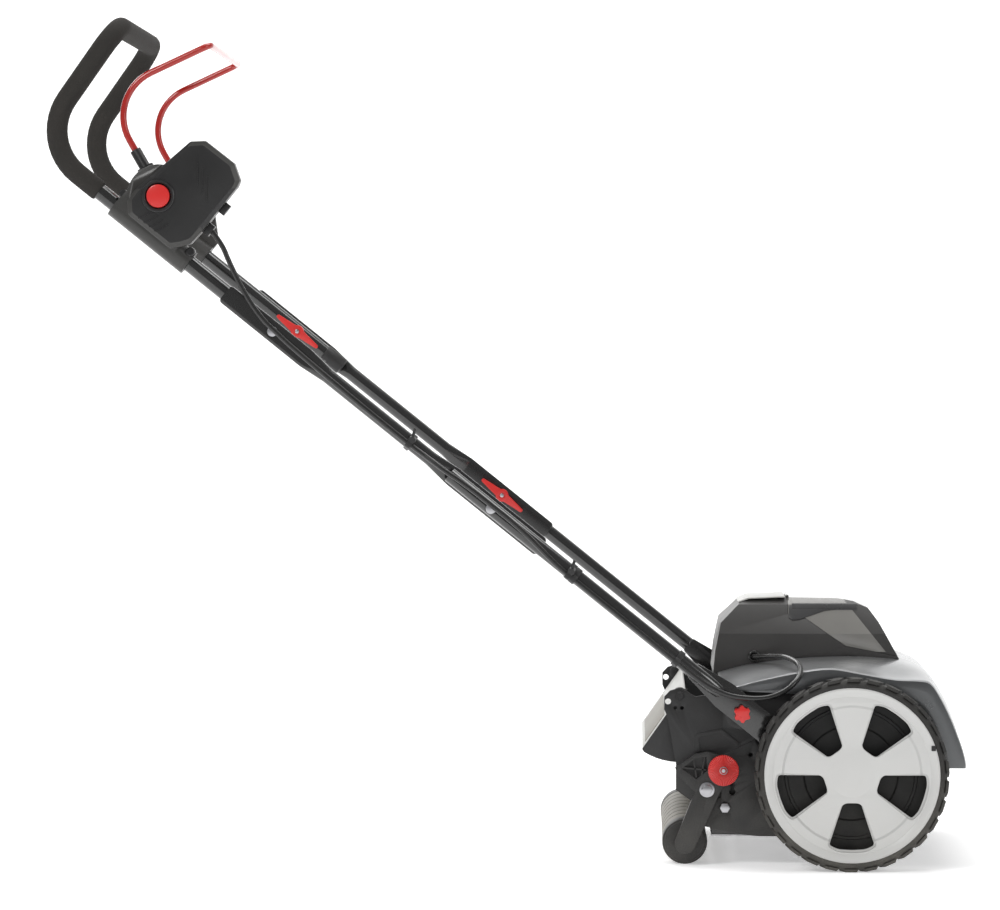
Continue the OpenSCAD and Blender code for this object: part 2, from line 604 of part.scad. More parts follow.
module tube_clamp(from, to) difference() {
  union() {
    translate([0, -upper_y, -bail_v]) bar_along_x(upper_r + 6, from, to);
    plate(206, 217.5) intersection() {
      polygon(web_outline);
      translate([from, -46]) square([to - from, 90]);
    }
  }
  translate([0, -upper_y, -bail_v]) bar_along_x(upper_r + 0.1, from - eps, to + eps);
  disc([0, 0], bail_pin_r, 205, 218);
}
module handle_clamps() color("#39393a") on_handle(bail_s, bail_v) {
  tube_clamp(-42, 83);
  left_side() tube_clamp(-40, 58);
}
module box_outline() {
  polygon(cover_outline);
  circle(r = drum_r);
}
module switch_housing() color("#303031") on_handle(bail_s, bail_v) difference() {
  plate(box_in, box_mid) box_outline();
  plate(box_in + 3, box_mid + eps) offset(delta = -3) polygon(cover_outline);
}
module switch_cover() color("#2c2c2d") on_handle(bail_s, bail_v) difference() {
  union() {
    plate(box_mid, 241.5) polygon(cover_outline);
    plate(241.5, box_out) offset(delta = -5) polygon(cover_outline);
    disc([0, 0], 22, box_out, box_out + 2);
  }
  disc([0, 0], button_r + 0.4, box_mid - eps, box_out + 3);
}
module start_button() color("#d8302f") at_bail() {
  disc([0, 0], button_r, 239, 249);
  disc([0, 0], 5, 231, 239);
}
module coil(at, r, wire, from, turns, pitch) for (i = [0:turns - 1])
  translate([at[0], -from - i * pitch, at[1]]) rotate([90, 0, 0]) rotate_extrude() translate([r, 0]) circle(r = wire);
module switch_springs() color("#b9babd") at_bail() {
  coil([0, 0], 8, 0.5, 229.5, 4, 2.4);
  both_sides() coil([0, 0], 7, 0.8, 186.2, 3, 1.7);
}
module bail_pins() color("#b5b5b8") at_bail() both_sides() {
  disc([0, 0], bail_pin_r, 184, 217.5);
  disc([0, 0], 7, 181.5, 184);
}
module bail_wire() color("#c62d2c") at_bail() rotate([0, -bail_slope, 0]) translate([50, 0, 0])
  swept(whole_loop(loop_half(36.5, 64, 94.8, 74, 12, bail_y)), bail_r, 12, loop_lean);
module bail_hubs() color("#29292a") at_bail() both_sides() difference() {
  union() {
    disc([0, 0], 27, 191, 205);
    translate([0, -192, 0]) rotate([90, 0, 0]) rotate([0, 0, 82]) rotate_extrude(angle = 72)
      square([drum_r - 1, 12]);
    rotate([0, -bail_slope, 0]) translate([0, -bail_y, 0]) {
      bar_along_x(7.5, 30, 72);
      bar_along_x(11.5, 43, 46.5);
    }
  }
  disc([0, 0], bail_pin_r + fit, 190, 206);
  rotate([0, -bail_slope, 0]) translate([0, -bail_y, 0]) bar_along_x(bail_r, 50, 73);
}
module cable_glands() color("#232324") on_handle(bail_s, bail_v) {
  difference() {
    plate(219, 233) translate([74, -1]) square([9, 16]);
    translate([70, -226, 7]) bar_along_x(cable_r + 0.2, 0, 20);
  }
  plate(219, 233) translate([74, 33]) square([8, 16]);
}
module cable_on_handle() color("#1a1a1b") from_axle()
  swept(route([for (p = cable_handle_route) on_line(p)]), cable_r, cable_sides, cable_lean);
module cable_on_deck() color("#1a1a1b") from_axle()
  swept(route(cable_deck_route), cable_r, cable_sides, cable_lean);
clip_bore = [0, -13.6, -4];
module cable_clips() color("#1d1d1e") on_handle() for (s = [108, 282]) translate([-s - 4, -lower_y, 0])
  difference() {
    union() {
      bar_along_x(rail_r + 1.6, 0, 8);
      translate(clip_bore) bar_along_x(cable_r + 1.8, 0, 8);
    }
    bar_along_x(rail_r + 0.05, -eps, 9);
    translate(clip_bore) bar_along_x(cable_r + 0.5, -eps, 9);
  }

side_plate_right();
side_plate_left();
tie_rods();
stub_axles();
pivot_bolts();
rim_right();
rim_left();
tyre_right();
tyre_left();
wheel_disc_right();
wheel_disc_left();
hood();
battery_housing();
top_panel();
battery_lid();
lid_bar();
battery();
cable_grommet();
flap_face();
flap_cheeks();
motor_body();
motor_pulley();
drive_belt();
belt_cover();
reel_shaft();
reel_blades();
reel_pulley();
reel_bearings();
bed_knife();
knife_carrier();
roller_arms();
roller_shaft();
roller_ends();
roller_segments();
index_knob_right();
index_knob_left();
lower_tubes();
lower_bolts();
star_knob_right();
star_knob_left();
middle_rails();
upper_joint_bolts();
wing_nut_lower_right();
wing_nut_lower_left();
wing_nut_upper_right();
wing_nut_upper_left();
upper_handle_tube();
foam_grip();
handle_clamps();
switch_housing();
switch_cover();
start_button();
switch_springs();
bail_pins();
bail_wire();
bail_hubs();
cable_glands();
cable_on_handle();
cable_on_deck();
cable_clips();
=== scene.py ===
import math

import bmesh
import bpy
from mathutils import Matrix, Vector


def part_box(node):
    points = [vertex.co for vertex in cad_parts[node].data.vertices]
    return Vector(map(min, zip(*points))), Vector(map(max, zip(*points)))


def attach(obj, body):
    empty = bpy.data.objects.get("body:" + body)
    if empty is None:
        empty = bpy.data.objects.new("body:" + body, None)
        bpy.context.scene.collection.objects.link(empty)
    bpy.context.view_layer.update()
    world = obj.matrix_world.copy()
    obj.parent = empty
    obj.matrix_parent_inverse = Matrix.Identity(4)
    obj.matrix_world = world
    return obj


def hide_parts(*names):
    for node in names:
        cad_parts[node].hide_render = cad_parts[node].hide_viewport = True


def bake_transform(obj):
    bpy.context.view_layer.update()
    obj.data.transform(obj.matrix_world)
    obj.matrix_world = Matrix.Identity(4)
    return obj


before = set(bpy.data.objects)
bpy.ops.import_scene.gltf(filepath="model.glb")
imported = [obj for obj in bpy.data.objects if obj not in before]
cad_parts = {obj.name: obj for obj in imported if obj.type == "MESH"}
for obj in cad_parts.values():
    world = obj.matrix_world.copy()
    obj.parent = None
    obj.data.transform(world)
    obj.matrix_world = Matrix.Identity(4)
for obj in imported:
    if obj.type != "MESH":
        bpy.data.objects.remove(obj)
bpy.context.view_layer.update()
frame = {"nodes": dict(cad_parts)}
nodes = frame["nodes"]
mm = 0.001
turn = math.radians
print("frame loaded")

# Everything is measured from the wheel axle, whose place the rim gives.
rimLow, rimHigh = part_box("rim_right")
axleX = (rimLow.x + rimHigh.x) / 2
handle = {"slope": turn(38.8), "x": -143.4, "z": 209.5}
bail = {"s": 1023, "v": 46, "slope": turn(119.8)}


def at(x, y, z):
    return Vector((axleX + x * mm, y * mm, z * mm))


def onLine(s, v, y):  # s up the handle, v above its line
    c, k = math.cos(handle["slope"]), math.sin(handle["slope"])
    return at(handle["x"] - s * c + v * k, y, handle["z"] + s * k + v * c)


def inBox(u, v, y):  # the switch box's own directions, from the bail pivot
    return onLine(bail["s"] - u, bail["v"] + v, y)


def atBail(x, z, y):
    p = inBox(0, 0, y)
    return p + Vector((x * mm, 0, z * mm))


# ---- node trees
def newTree(name, kind, inputs, outputs):
    tree = bpy.data.node_groups.new(name, kind)
    for label, socket, value in inputs:
        made = tree.interface.new_socket(name=label, in_out="INPUT", socket_type=socket)
        if value is not None:
            made.default_value = value
    for label, socket in outputs:
        tree.interface.new_socket(name=label, in_out="OUTPUT", socket_type=socket)
    return tree, tree.nodes.new("NodeGroupInput"), tree.nodes.new("NodeGroupOutput")


def feed(tree, socket, value):  # a link from another socket, or a plain value
    if isinstance(value, bpy.types.NodeSocket):
        tree.links.new(value, socket)
    else:
        socket.default_value = value


def add(tree, kind, settings=None, **values):
    node = tree.nodes.new(kind)
    for key, value in (settings or {}).items():
        setattr(node, key, value)
    for key, value in values.items():
        name = key.replace("_", " ")
        socket = node.inputs[int(name[1:])] if name[0] == "i" and name[1:].isdigit() else node.inputs[name]
        feed(tree, socket, value)
    return node


def mathNode(tree, operation, a, b=0.0, c=0.0, clamp=False):
    node = add(tree, "ShaderNodeMath", {"operation": operation, "use_clamp": clamp}, i0=a, i1=b)
    if operation == "MULTIPLY_ADD":
        feed(tree, node.inputs[2], c)
    return node.outputs[0]


def mixColor(tree, factor, a, b):
    node = tree.nodes.new("ShaderNodeMix")
    node.data_type = "RGBA"
    for socket, value in ((node.inputs[0], factor), (node.inputs[6], a), (node.inputs[7], b)):
        feed(tree, socket, value)
    return node.outputs[2]


def spread(tree, value, low, high):  # 0 at low and 1 at high
    node = add(tree, "ShaderNodeMapRange", None, Value=value)
    node.inputs["From Min"].default_value = low
    node.inputs["From Max"].default_value = high
    return node.outputs[0]


def rgb(r, g, b):
    return (r, g, b, 1.0)


# Moulded or sprayed surface: fine grain for the bump and slow changes of tone.
def grainGroup():
    tree, given, out = newTree("surfaceGrain", "ShaderNodeTree", [
        ("Vector", "NodeSocketVector", None), ("Grain scale", "NodeSocketFloat", 900.0),
        ("Cell share", "NodeSocketFloat", 0.5), ("Tone scale", "NodeSocketFloat", 14.0)],
        [("Height", "NodeSocketFloat"), ("Tone", "NodeSocketFloat"), ("Fleck", "NodeSocketFloat")])
    fine = add(tree, "ShaderNodeTexNoise", None, Vector=given.outputs[0], Scale=given.outputs[1], Detail=3.0)
    cells = add(tree, "ShaderNodeTexVoronoi", {"feature": "SMOOTH_F1"}, Vector=given.outputs[0],
                Scale=given.outputs[1])
    height = add(tree, "ShaderNodeMix", None, i0=given.outputs[2], i2=fine.outputs[0], i3=cells.outputs[0])
    tone = add(tree, "ShaderNodeTexNoise", None, Vector=given.outputs[0], Scale=given.outputs[3], Detail=4.0)
    fleck = spread(tree, fine.outputs[0], 0.62, 0.74)
    tree.links.new(height.outputs[0], out.inputs[0])
    tree.links.new(tone.outputs[0], out.inputs[1])
    tree.links.new(fleck, out.inputs[2])
    return tree


# Thin scratches in two directions, gathered in patches.
def scuffGroup():
    tree, given, out = newTree("scuffs", "ShaderNodeTree", [
        ("Vector", "NodeSocketVector", None), ("Scale", "NodeSocketFloat", 60.0),
        ("Amount", "NodeSocketFloat", 0.3)], [("Mask", "NodeSocketFloat")])
    lines = []
    for angle, stretch in ((0.5, (1.0, 14.0, 1.0)), (1.9, (11.0, 1.0, 1.5))):
        spun = add(tree, "ShaderNodeMapping", None, Vector=given.outputs[0], Rotation=(angle, angle * 0.7, 0.3),
                   Scale=stretch)
        noise = add(tree, "ShaderNodeTexNoise", None, Vector=spun.outputs[0], Scale=given.outputs[1], Detail=2.0)
        lines.append(spread(tree, noise.outputs[0], 0.66, 0.7))
    patch = add(tree, "ShaderNodeTexNoise", None, Vector=given.outputs[0], Scale=9.0, Detail=2.0)
    area = spread(tree, patch.outputs[0], 0.5, 0.68)
    both = mathNode(tree, "MAXIMUM", lines[0], lines[1])
    mask = mathNode(tree, "MULTIPLY", mathNode(tree, "MULTIPLY", both, area), given.outputs[2])
    tree.links.new(mask, out.inputs[0])
    return tree


# Dust that lies on faces that look up, and more of it near the ground.
def dustGroup():
    tree, given, out = newTree("settledDust", "ShaderNodeTree", [
        ("Vector", "NodeSocketVector", None), ("Amount", "NodeSocketFloat", 0.2),
        ("Ground share", "NodeSocketFloat", 0.3)], [("Mask", "NodeSocketFloat")])
    facing = add(tree, "ShaderNodeSeparateXYZ", None, Vector=add(tree, "ShaderNodeNewGeometry").outputs["Normal"])
    place = add(tree, "ShaderNodeSeparateXYZ", None, Vector=given.outputs[0])
    cloud = add(tree, "ShaderNodeTexNoise", None, Vector=given.outputs[0], Scale=26.0, Detail=7.0)
    speck = add(tree, "ShaderNodeTexNoise", None, Vector=given.outputs[0], Scale=700.0, Detail=1.0)
    up = mathNode(tree, "MULTIPLY_ADD", facing.outputs[2], 0.5, 0.35, clamp=True)
    low = spread(tree, place.outputs[2], 0.16, 0.0)
    total = mathNode(tree, "MULTIPLY_ADD", low, given.outputs[2], mathNode(
        tree, "MULTIPLY", up, given.outputs[1]))
    mask = mathNode(tree, "MULTIPLY", mathNode(tree, "MULTIPLY", total, cloud.outputs[0]), mathNode(
        tree, "MULTIPLY_ADD", speck.outputs[0], 1.2, 0.4), clamp=True)
    tree.links.new(mask, out.inputs[0])
    return tree


# Metal drawn or turned along one direction.
def brushGroup():
    tree, given, out = newTree("brushedLines", "ShaderNodeTree", [
        ("Vector", "NodeSocketVector", None), ("Stretch", "NodeSocketVector", (1.0, 30.0, 30.0)),
        ("Scale", "NodeSocketFloat", 60.0)], [("Height", "NodeSocketFloat")])
    spun = add(tree, "ShaderNodeMapping", None, Vector=given.outputs[0], Scale=given.outputs[1])
    noise = add(tree, "ShaderNodeTexNoise", None, Vector=spun.outputs[0], Scale=given.outputs[2], Detail=5.0)
    tree.links.new(noise.outputs[0], out.inputs[0])
    return tree


# A step or a fan of lines round a centre, seen along Y.
def roundGroup():
    tree, given, out = newTree("roundTheCentre", "ShaderNodeTree", [
        ("Vector", "NodeSocketVector", None), ("Centre", "NodeSocketVector", None),
        ("Radius", "NodeSocketFloat", 0.09), ("Width", "NodeSocketFloat", 0.001),
        ("Lines", "NodeSocketFloat", 60.0)], [("Step", "NodeSocketFloat"), ("Fan", "NodeSocketFloat")])
    away = add(tree, "ShaderNodeVectorMath", {"operation": "SUBTRACT"}, i0=given.outputs[0], i1=given.outputs[1])
    parts = add(tree, "ShaderNodeSeparateXYZ", None, Vector=away.outputs[0])
    flat = add(tree, "ShaderNodeCombineXYZ", None, X=parts.outputs[0], Z=parts.outputs[2])
    reach = add(tree, "ShaderNodeVectorMath", {"operation": "LENGTH"}, i0=flat.outputs[0])
    start = mathNode(tree, "SUBTRACT", given.outputs[2], given.outputs[3])
    step = mathNode(tree, "DIVIDE", mathNode(tree, "SUBTRACT", reach.outputs["Value"], start), mathNode(
        tree, "MULTIPLY", given.outputs[3], 2.0), clamp=True)
    angle = mathNode(tree, "ARCTAN2", parts.outputs[2], parts.outputs[0])
    fan = mathNode(tree, "SINE", mathNode(tree, "MULTIPLY", angle, given.outputs[4]))
    tree.links.new(step, out.inputs[0])
    tree.links.new(fan, out.inputs[1])
    return tree


groups = {"round": roundGroup(), "grain": grainGroup(), "scuff": scuffGroup(), "dust": dustGroup(),
          "brush": brushGroup()}
dustTone = rgb(0.46, 0.43, 0.37)
surface = {"darker": 0.72, "fleckGain": 2.2, "fleckLift": 0.05, "wornGain": 1.7, "wornLift": 0.04, "scuffRough": 0.25,
           "dustRough": 0.6, "brushScale": 60.0, "brushShare": 1.5, "turnedStrength": 0.8, "coatRough": 0.12}


def placed(tree, key, **values):
    node = tree.nodes.new("ShaderNodeGroup")
    node.node_tree = groups[key]
    for name, value in values.items():
        socket = node.inputs[name.replace("_", " ")]
        feed(tree, socket, value)
    return node


def finish(name, tone, dark=None, rough=0.45, roughSwing=0.12, metallic=0.0, coat=0.0, grain=900.0, cell=0.5,
           bump=0.25, depth=0.0002, toneScale=14.0, scuff=0.12, scuffTone=None, dust=0.08, ground=0.2,
           fleck=0.0, stretch=None, specular=0.4, centre=None, radius=0.09, width=0.001, lines=60.0,
           stepDepth=0.0, fanDepth=0.0):
    def lighter(gain, lift):
        return tuple(min(1.0, channel * gain + lift) for channel in tone[:3]) + (1.0,)
    material = bpy.data.materials.new(name)
    material.use_nodes = True
    tree = material.node_tree
    shader = tree.nodes["Principled BSDF"]
    place = add(tree, "ShaderNodeTexCoord").outputs["Object"]
    grainNode = placed(tree, "grain", Vector=place, Grain_scale=grain, Cell_share=cell, Tone_scale=toneScale)
    dark = dark or tuple(channel * surface["darker"] for channel in tone[:3]) + (1.0,)
    color = mixColor(tree, grainNode.outputs[1], dark, tone)
    if fleck:
        bright = lighter(surface["fleckGain"], surface["fleckLift"])
        color = mixColor(tree, mathNode(tree, "MULTIPLY", grainNode.outputs[2], fleck), color, bright)
    scuffs = placed(tree, "scuff", Vector=place, Amount=scuff)
    worn = scuffTone or lighter(surface["wornGain"], surface["wornLift"])
    color = mixColor(tree, scuffs.outputs[0], color, worn)
    dusty = placed(tree, "dust", Vector=place, Amount=dust, Ground_share=ground)
    color = mixColor(tree, dusty.outputs[0], color, dustTone)
    tree.links.new(color, shader.inputs["Base Color"])
    level = mathNode(tree, "MULTIPLY_ADD", grainNode.outputs[1], roughSwing * 2, rough - roughSwing)
    level = mathNode(tree, "MULTIPLY_ADD", scuffs.outputs[0], surface["scuffRough"], level)
    level = mathNode(tree, "MULTIPLY_ADD", dusty.outputs[0], surface["dustRough"], level, clamp=True)
    tree.links.new(level, shader.inputs["Roughness"])
    height = grainNode.outputs[0]
    if stretch:
        brushed = placed(tree, "brush", Vector=place, Stretch=stretch, Scale=surface["brushScale"])
        height = mathNode(tree, "MULTIPLY_ADD", brushed.outputs[0], surface["brushShare"], height)
    raised = add(tree, "ShaderNodeBump", None, Strength=bump, Distance=depth, Height=height)
    if centre:
        turned = placed(tree, "round", Vector=place, Centre=centre, Radius=radius, Width=width, Lines=lines)
        for socket, deep in ((0, stepDepth), (1, fanDepth)):
            if deep:
                raised = add(tree, "ShaderNodeBump", None, Strength=surface["turnedStrength"], Distance=deep,
                             Height=turned.outputs[socket], Normal=raised.outputs[0])
    tree.links.new(raised.outputs[0], shader.inputs["Normal"])
    shader.inputs["Metallic"].default_value = metallic
    shader.inputs["Coat Weight"].default_value = coat
    shader.inputs["Coat Roughness"].default_value = surface["coatRough"]
    shader.inputs["Specular IOR Level"].default_value = specular
    return material


axle = (axleX, 0.0, 0.127)
indexAt = (axleX - 0.1674, 0.0, 0.1284)
looks = {
    "blackPlastic": dict(tone=rgb(0.023, 0.023, 0.024), dark=rgb(0.014, 0.014, 0.0145), rough=0.44, bump=0.35,
                         scuff=0.08, dust=0.05, ground=0.12, specular=0.32),
    "discPlastic": dict(tone=rgb(0.017, 0.017, 0.0175), dark=rgb(0.011, 0.011, 0.011), rough=0.5, bump=0.3,
                        dust=0.04, ground=0.1, specular=0.25, centre=axle, radius=0.062, width=0.0012,
                        stepDepth=0.003),
    "boxPlastic": dict(tone=rgb(0.016, 0.016, 0.0165), dark=rgb(0.01, 0.01, 0.0105), rough=0.34, grain=1300.0,
                       bump=0.4, dust=0.02, ground=0.0, specular=0.42),
    "clampPlastic": dict(tone=rgb(0.04, 0.039, 0.037), dark=rgb(0.028, 0.0275, 0.026), rough=0.34, grain=1300.0,
                         bump=0.4, dust=0.02, ground=0.0, specular=0.42),
    "housingPlastic": dict(tone=rgb(0.038, 0.0365, 0.0355), dark=rgb(0.026, 0.025, 0.0245), rough=0.38,
                           grain=1100.0, bump=0.25, dust=0.03, ground=0.0, specular=0.5),
    "hoodSilver": dict(tone=rgb(0.33, 0.335, 0.34), dark=rgb(0.27, 0.275, 0.28), rough=0.3, metallic=0.75,
                       grain=2600.0, bump=0.06, coat=0.3, fleck=0.3, dust=0.03, ground=0.05, toneScale=5.0,
                       scuff=0.06),
    "tubeBlack": dict(tone=rgb(0.01, 0.01, 0.01), dark=rgb(0.006, 0.006, 0.006), rough=0.14, coat=0.5, grain=160.0,
                      bump=0.015, cell=0.0, dust=0.01, ground=0.08, scuff=0.08, roughSwing=0.04, specular=0.6),
    "foam": dict(tone=rgb(0.037, 0.034, 0.031), dark=rgb(0.018, 0.017, 0.016), rough=0.88, grain=620.0, cell=0.85,
                 bump=0.75, depth=0.0006, toneScale=30.0, scuff=0.0, dust=0.03, ground=0.0, specular=0.2),
    "tyreRubber": dict(tone=rgb(0.022, 0.021, 0.02), dark=rgb(0.012, 0.012, 0.012), rough=0.66, grain=500.0,
                       bump=0.45, depth=0.0003, dust=0.07, ground=0.25, scuff=0.08, specular=0.35),
    "rimGrey": dict(tone=rgb(0.56, 0.56, 0.55), dark=rgb(0.5, 0.5, 0.49), rough=0.36, grain=1500.0, bump=0.1,
                    coat=0.1, dust=0.04, ground=0.2, scuff=0.06, scuffTone=rgb(0.4, 0.39, 0.37), toneScale=6.0,
                    centre=axle, radius=0.0905, width=0.0016, stepDepth=0.0035),
    "redPlastic": dict(tone=rgb(0.62, 0.024, 0.021), dark=rgb(0.5, 0.016, 0.015), rough=0.32, grain=1100.0,
                       bump=0.18, coat=0.15, dust=0.03, ground=0.1, scuff=0.1, scuffTone=rgb(0.75, 0.16, 0.14)),
    "indexRed": dict(tone=rgb(0.6, 0.024, 0.021), dark=rgb(0.5, 0.016, 0.015), rough=0.34, bump=0.18, coat=0.1,
                     dust=0.03, ground=0.1, scuff=0.08, centre=indexAt, lines=48.0, fanDepth=0.00035),
    "redWire": dict(tone=rgb(0.4, 0.014, 0.009), dark=rgb(0.28, 0.009, 0.006), rough=0.17, coat=0.5, grain=500.0,
                    bump=0.06, dust=0.02, ground=0.0, scuff=0.1, scuffTone=rgb(0.6, 0.2, 0.18)),
    "zinc": dict(tone=rgb(0.5, 0.5, 0.52), dark=rgb(0.34, 0.34, 0.36), rough=0.3, metallic=1.0, grain=700.0,
                 bump=0.12, dust=0.04, ground=0.15, scuff=0.2, stretch=(40.0, 2.0, 40.0)),
    "bladeSteel": dict(tone=rgb(0.5, 0.5, 0.51), dark=rgb(0.3, 0.3, 0.31), rough=0.34, metallic=1.0, grain=400.0,
                       bump=0.25, dust=0.08, ground=0.2, scuff=0.4, stretch=(30.0, 2.0, 30.0)),
    "darkSteel": dict(tone=rgb(0.03, 0.03, 0.032), dark=rgb(0.018, 0.018, 0.019), rough=0.4, grain=600.0, bump=0.2,
                      coat=0.2, dust=0.06, ground=0.15, scuff=0.2, scuffTone=rgb(0.2, 0.2, 0.2)),
    "aluminium": dict(tone=rgb(0.72, 0.73, 0.74), dark=rgb(0.6, 0.61, 0.62), rough=0.3, metallic=1.0, grain=600.0,
                      bump=0.12, stretch=(40.0, 2.0, 40.0)),
    "panelLight": dict(tone=rgb(0.5, 0.5, 0.48), dark=rgb(0.42, 0.42, 0.4), rough=0.34, grain=1400.0, bump=0.2,
                       dust=0.04, ground=0.0),
    "smoked": dict(tone=rgb(0.23, 0.225, 0.21), dark=rgb(0.14, 0.136, 0.128), rough=0.14, coat=0.5, grain=300.0,
                   bump=0.02, dust=0.03, ground=0.0, scuff=0.05, scuffTone=rgb(0.2, 0.2, 0.2), toneScale=7.0),
    # a darker copy of the hood's silver for its side faces: painted shade and painted dark reflection
    "hoodSideShade": dict(tone=rgb(0.16, 0.165, 0.17), dark=rgb(0.075, 0.078, 0.08), rough=0.3, metallic=0.8,
                     grain=2600.0, bump=0.06, coat=0.3, fleck=0.25, dust=0.03, ground=0.05, toneScale=6.0,
                     scuff=0.06),
    "barGrey": dict(tone=rgb(0.05, 0.05, 0.052), dark=rgb(0.035, 0.035, 0.036), rough=0.3, bump=0.2, dust=0.03),
    "flapLight": dict(tone=rgb(0.46, 0.46, 0.44), dark=rgb(0.39, 0.39, 0.375), rough=0.4, grain=1300.0, bump=0.12,
                      dust=0.06, ground=0.1, scuff=0.1, scuffTone=rgb(0.4, 0.4, 0.38)),
    "rollerGrey": dict(tone=rgb(0.27, 0.255, 0.225), dark=rgb(0.15, 0.143, 0.125), rough=0.5, grain=900.0, bump=0.3,
                       dust=0.1, ground=0.25, scuff=0.3, scuffTone=rgb(0.2, 0.185, 0.16)),
    "cableBlack": dict(tone=rgb(0.014, 0.014, 0.014), dark=rgb(0.009, 0.009, 0.009), rough=0.26, grain=800.0,
                       bump=0.08, coat=0.2, dust=0.02, ground=0.0, scuff=0.06),
    "beltRubber": dict(tone=rgb(0.02, 0.02, 0.02), rough=0.7, bump=0.4),
}
skins = {name: finish(name, **look) for name, look in looks.items()}
print("materials made:", len(skins))


# ---- mesh helpers
cleaning = {"join": 0.00002, "plateJoin": 0.00001, "flat": 1.0, "plateSteps": 3}
bothSides = ((-1, "right"), (1, "left"))


def linked(thing):
    bpy.context.scene.collection.objects.link(thing)
    return thing


def makePiece(name, mesh, skin, body, slotName, *replaced, smooth=32, extra=()):
    piece = linked(bpy.data.objects.new(name, mesh))
    if skin:
        mesh.materials.clear()
        mesh.materials.append(skins[skin])
    for more in extra:
        mesh.materials.append(skins[more])
    mesh.polygons.foreach_set("use_smooth", [True] * len(mesh.polygons))
    mesh.set_sharp_from_angle(angle=turn(smooth))
    if body:
        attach(piece, body)
    if replaced:
        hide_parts(*replaced)
    return piece


def toMesh(bm, name):
    mesh = bpy.data.meshes.new(name)
    bm.to_mesh(mesh)
    bm.free()
    return mesh


def settle(thing, name):  # modifiers and curves become a plain mesh, and the worker object goes
    bpy.context.view_layer.update()
    graph = bpy.context.evaluated_depsgraph_get()
    mesh = bpy.data.meshes.new_from_object(thing.evaluated_get(graph), depsgraph=graph)
    mesh.name = name
    bpy.data.objects.remove(thing)
    return mesh


def softMesh(mesh, name, width, segments=2, angle=33):
    worker = linked(bpy.data.objects.new(name + "Worker", mesh))
    edge = worker.modifiers.new("edge", "BEVEL")
    edge.width = width * mm
    edge.segments = segments
    edge.limit_method = "ANGLE"
    edge.angle_limit = turn(angle)
    edge.harden_normals = False
    edge.miter_outer = "MITER_ARC"
    return settle(worker, name)


def cleanCopy(node):  # a CAD node's own shape, with its loose triangles joined
    bm = bmesh.new()
    bm.from_mesh(nodes[node].data)
    bmesh.ops.remove_doubles(bm, verts=bm.verts, dist=cleaning["join"])
    bmesh.ops.dissolve_limit(bm, angle_limit=turn(cleaning["flat"]), verts=bm.verts, edges=bm.edges,
                             delimit={"NORMAL"})
    return toMesh(bm, node)


def softened(node, skin, body, slotName, width, segments=2, angle=33):
    mesh = softMesh(cleanCopy(node), node, width, segments, angle)
    return makePiece(node + "Skin", mesh, skin, body, slotName, node)


def sweep(points, radius, sides):  # in metres; radius may be a list, one for each point
    bm = bmesh.new()
    radii = radius if isinstance(radius, (list, tuple)) else [radius] * len(points)
    rings = []
    side = None
    for i, point in enumerate(points):
        ahead = points[min(i + 1, len(points) - 1)] - point
        behind = point - points[max(i - 1, 0)]
        along = (ahead.normalized() + behind.normalized()).normalized()
        if side is None:
            side = along.orthogonal().normalized()
        side = (side - along * side.dot(along)).normalized()
        other = along.cross(side)
        rings.append([bm.verts.new(point + radii[i] * (side * math.cos(k * math.tau / sides)
                      + other * math.sin(k * math.tau / sides))) for k in range(sides)])
    for a, b in zip(rings, rings[1:]):
        for k in range(sides):
            n = (k + 1) % sides
            bm.faces.new((a[k], a[n], b[n], b[k]))
    bm.faces.new(list(reversed(rings[0])))
    bm.faces.new(rings[-1])
    return bm


def merged(parts, name):  # several bmeshes as one mesh
    whole = bmesh.new()
    for part in parts:
        mesh = toMesh(part, "part")
        whole.from_mesh(mesh)
        bpy.data.meshes.remove(mesh)
    return toMesh(whole, name)


def lathe(profile, centre, sides, closed=False):  # (radius, along) in mm, turned round Y through the centre
    bm = bmesh.new()
    axis = Vector((0, 1, 0))
    side = axis.orthogonal().normalized()
    other = axis.cross(side)
    rings = []
    for r, h in profile:
        if r < 1e-6:
            rings.append([bm.verts.new(centre + axis * h * mm)])
            continue
        rings.append([bm.verts.new(centre + axis * h * mm + r * mm * (
            side * math.cos(k * math.tau / sides) + other * math.sin(k * math.tau / sides))) for k in range(sides)])
    pairs = list(zip(rings, rings[1:]))
    if closed:
        pairs.append((rings[-1], rings[0]))
    for a, b in pairs:
        for k in range(sides):
            n = (k + 1) % sides
            if len(a) == 1 and len(b) > 1:
                bm.faces.new((a[0], b[n], b[k]))
            elif len(b) == 1 and len(a) > 1:
                bm.faces.new((a[k], a[n], b[0]))
            elif len(a) > 1:
                bm.faces.new((a[k], a[n], b[n], b[k]))
    bmesh.ops.recalc_face_normals(bm, faces=bm.faces)
    return bm


def rounded(points, radius, steps=5):  # an outline with its corners turned to arcs
    out = []
    count = len(points)
    for i, p in enumerate(points):
        a, b = Vector(points[i - 1]), Vector(points[(i + 1) % count])
        p = Vector(p)
        toA, toB = (a - p), (b - p)
        r = min(radius, toA.length * 0.48, toB.length * 0.48)
        start, end = p + toA.normalized() * r, p + toB.normalized() * r
        for k in range(steps + 1):
            t = k / steps
            out.append(((1 - t) ** 2 * start + 2 * t * (1 - t) * p + t * t * end)[:])
    return out


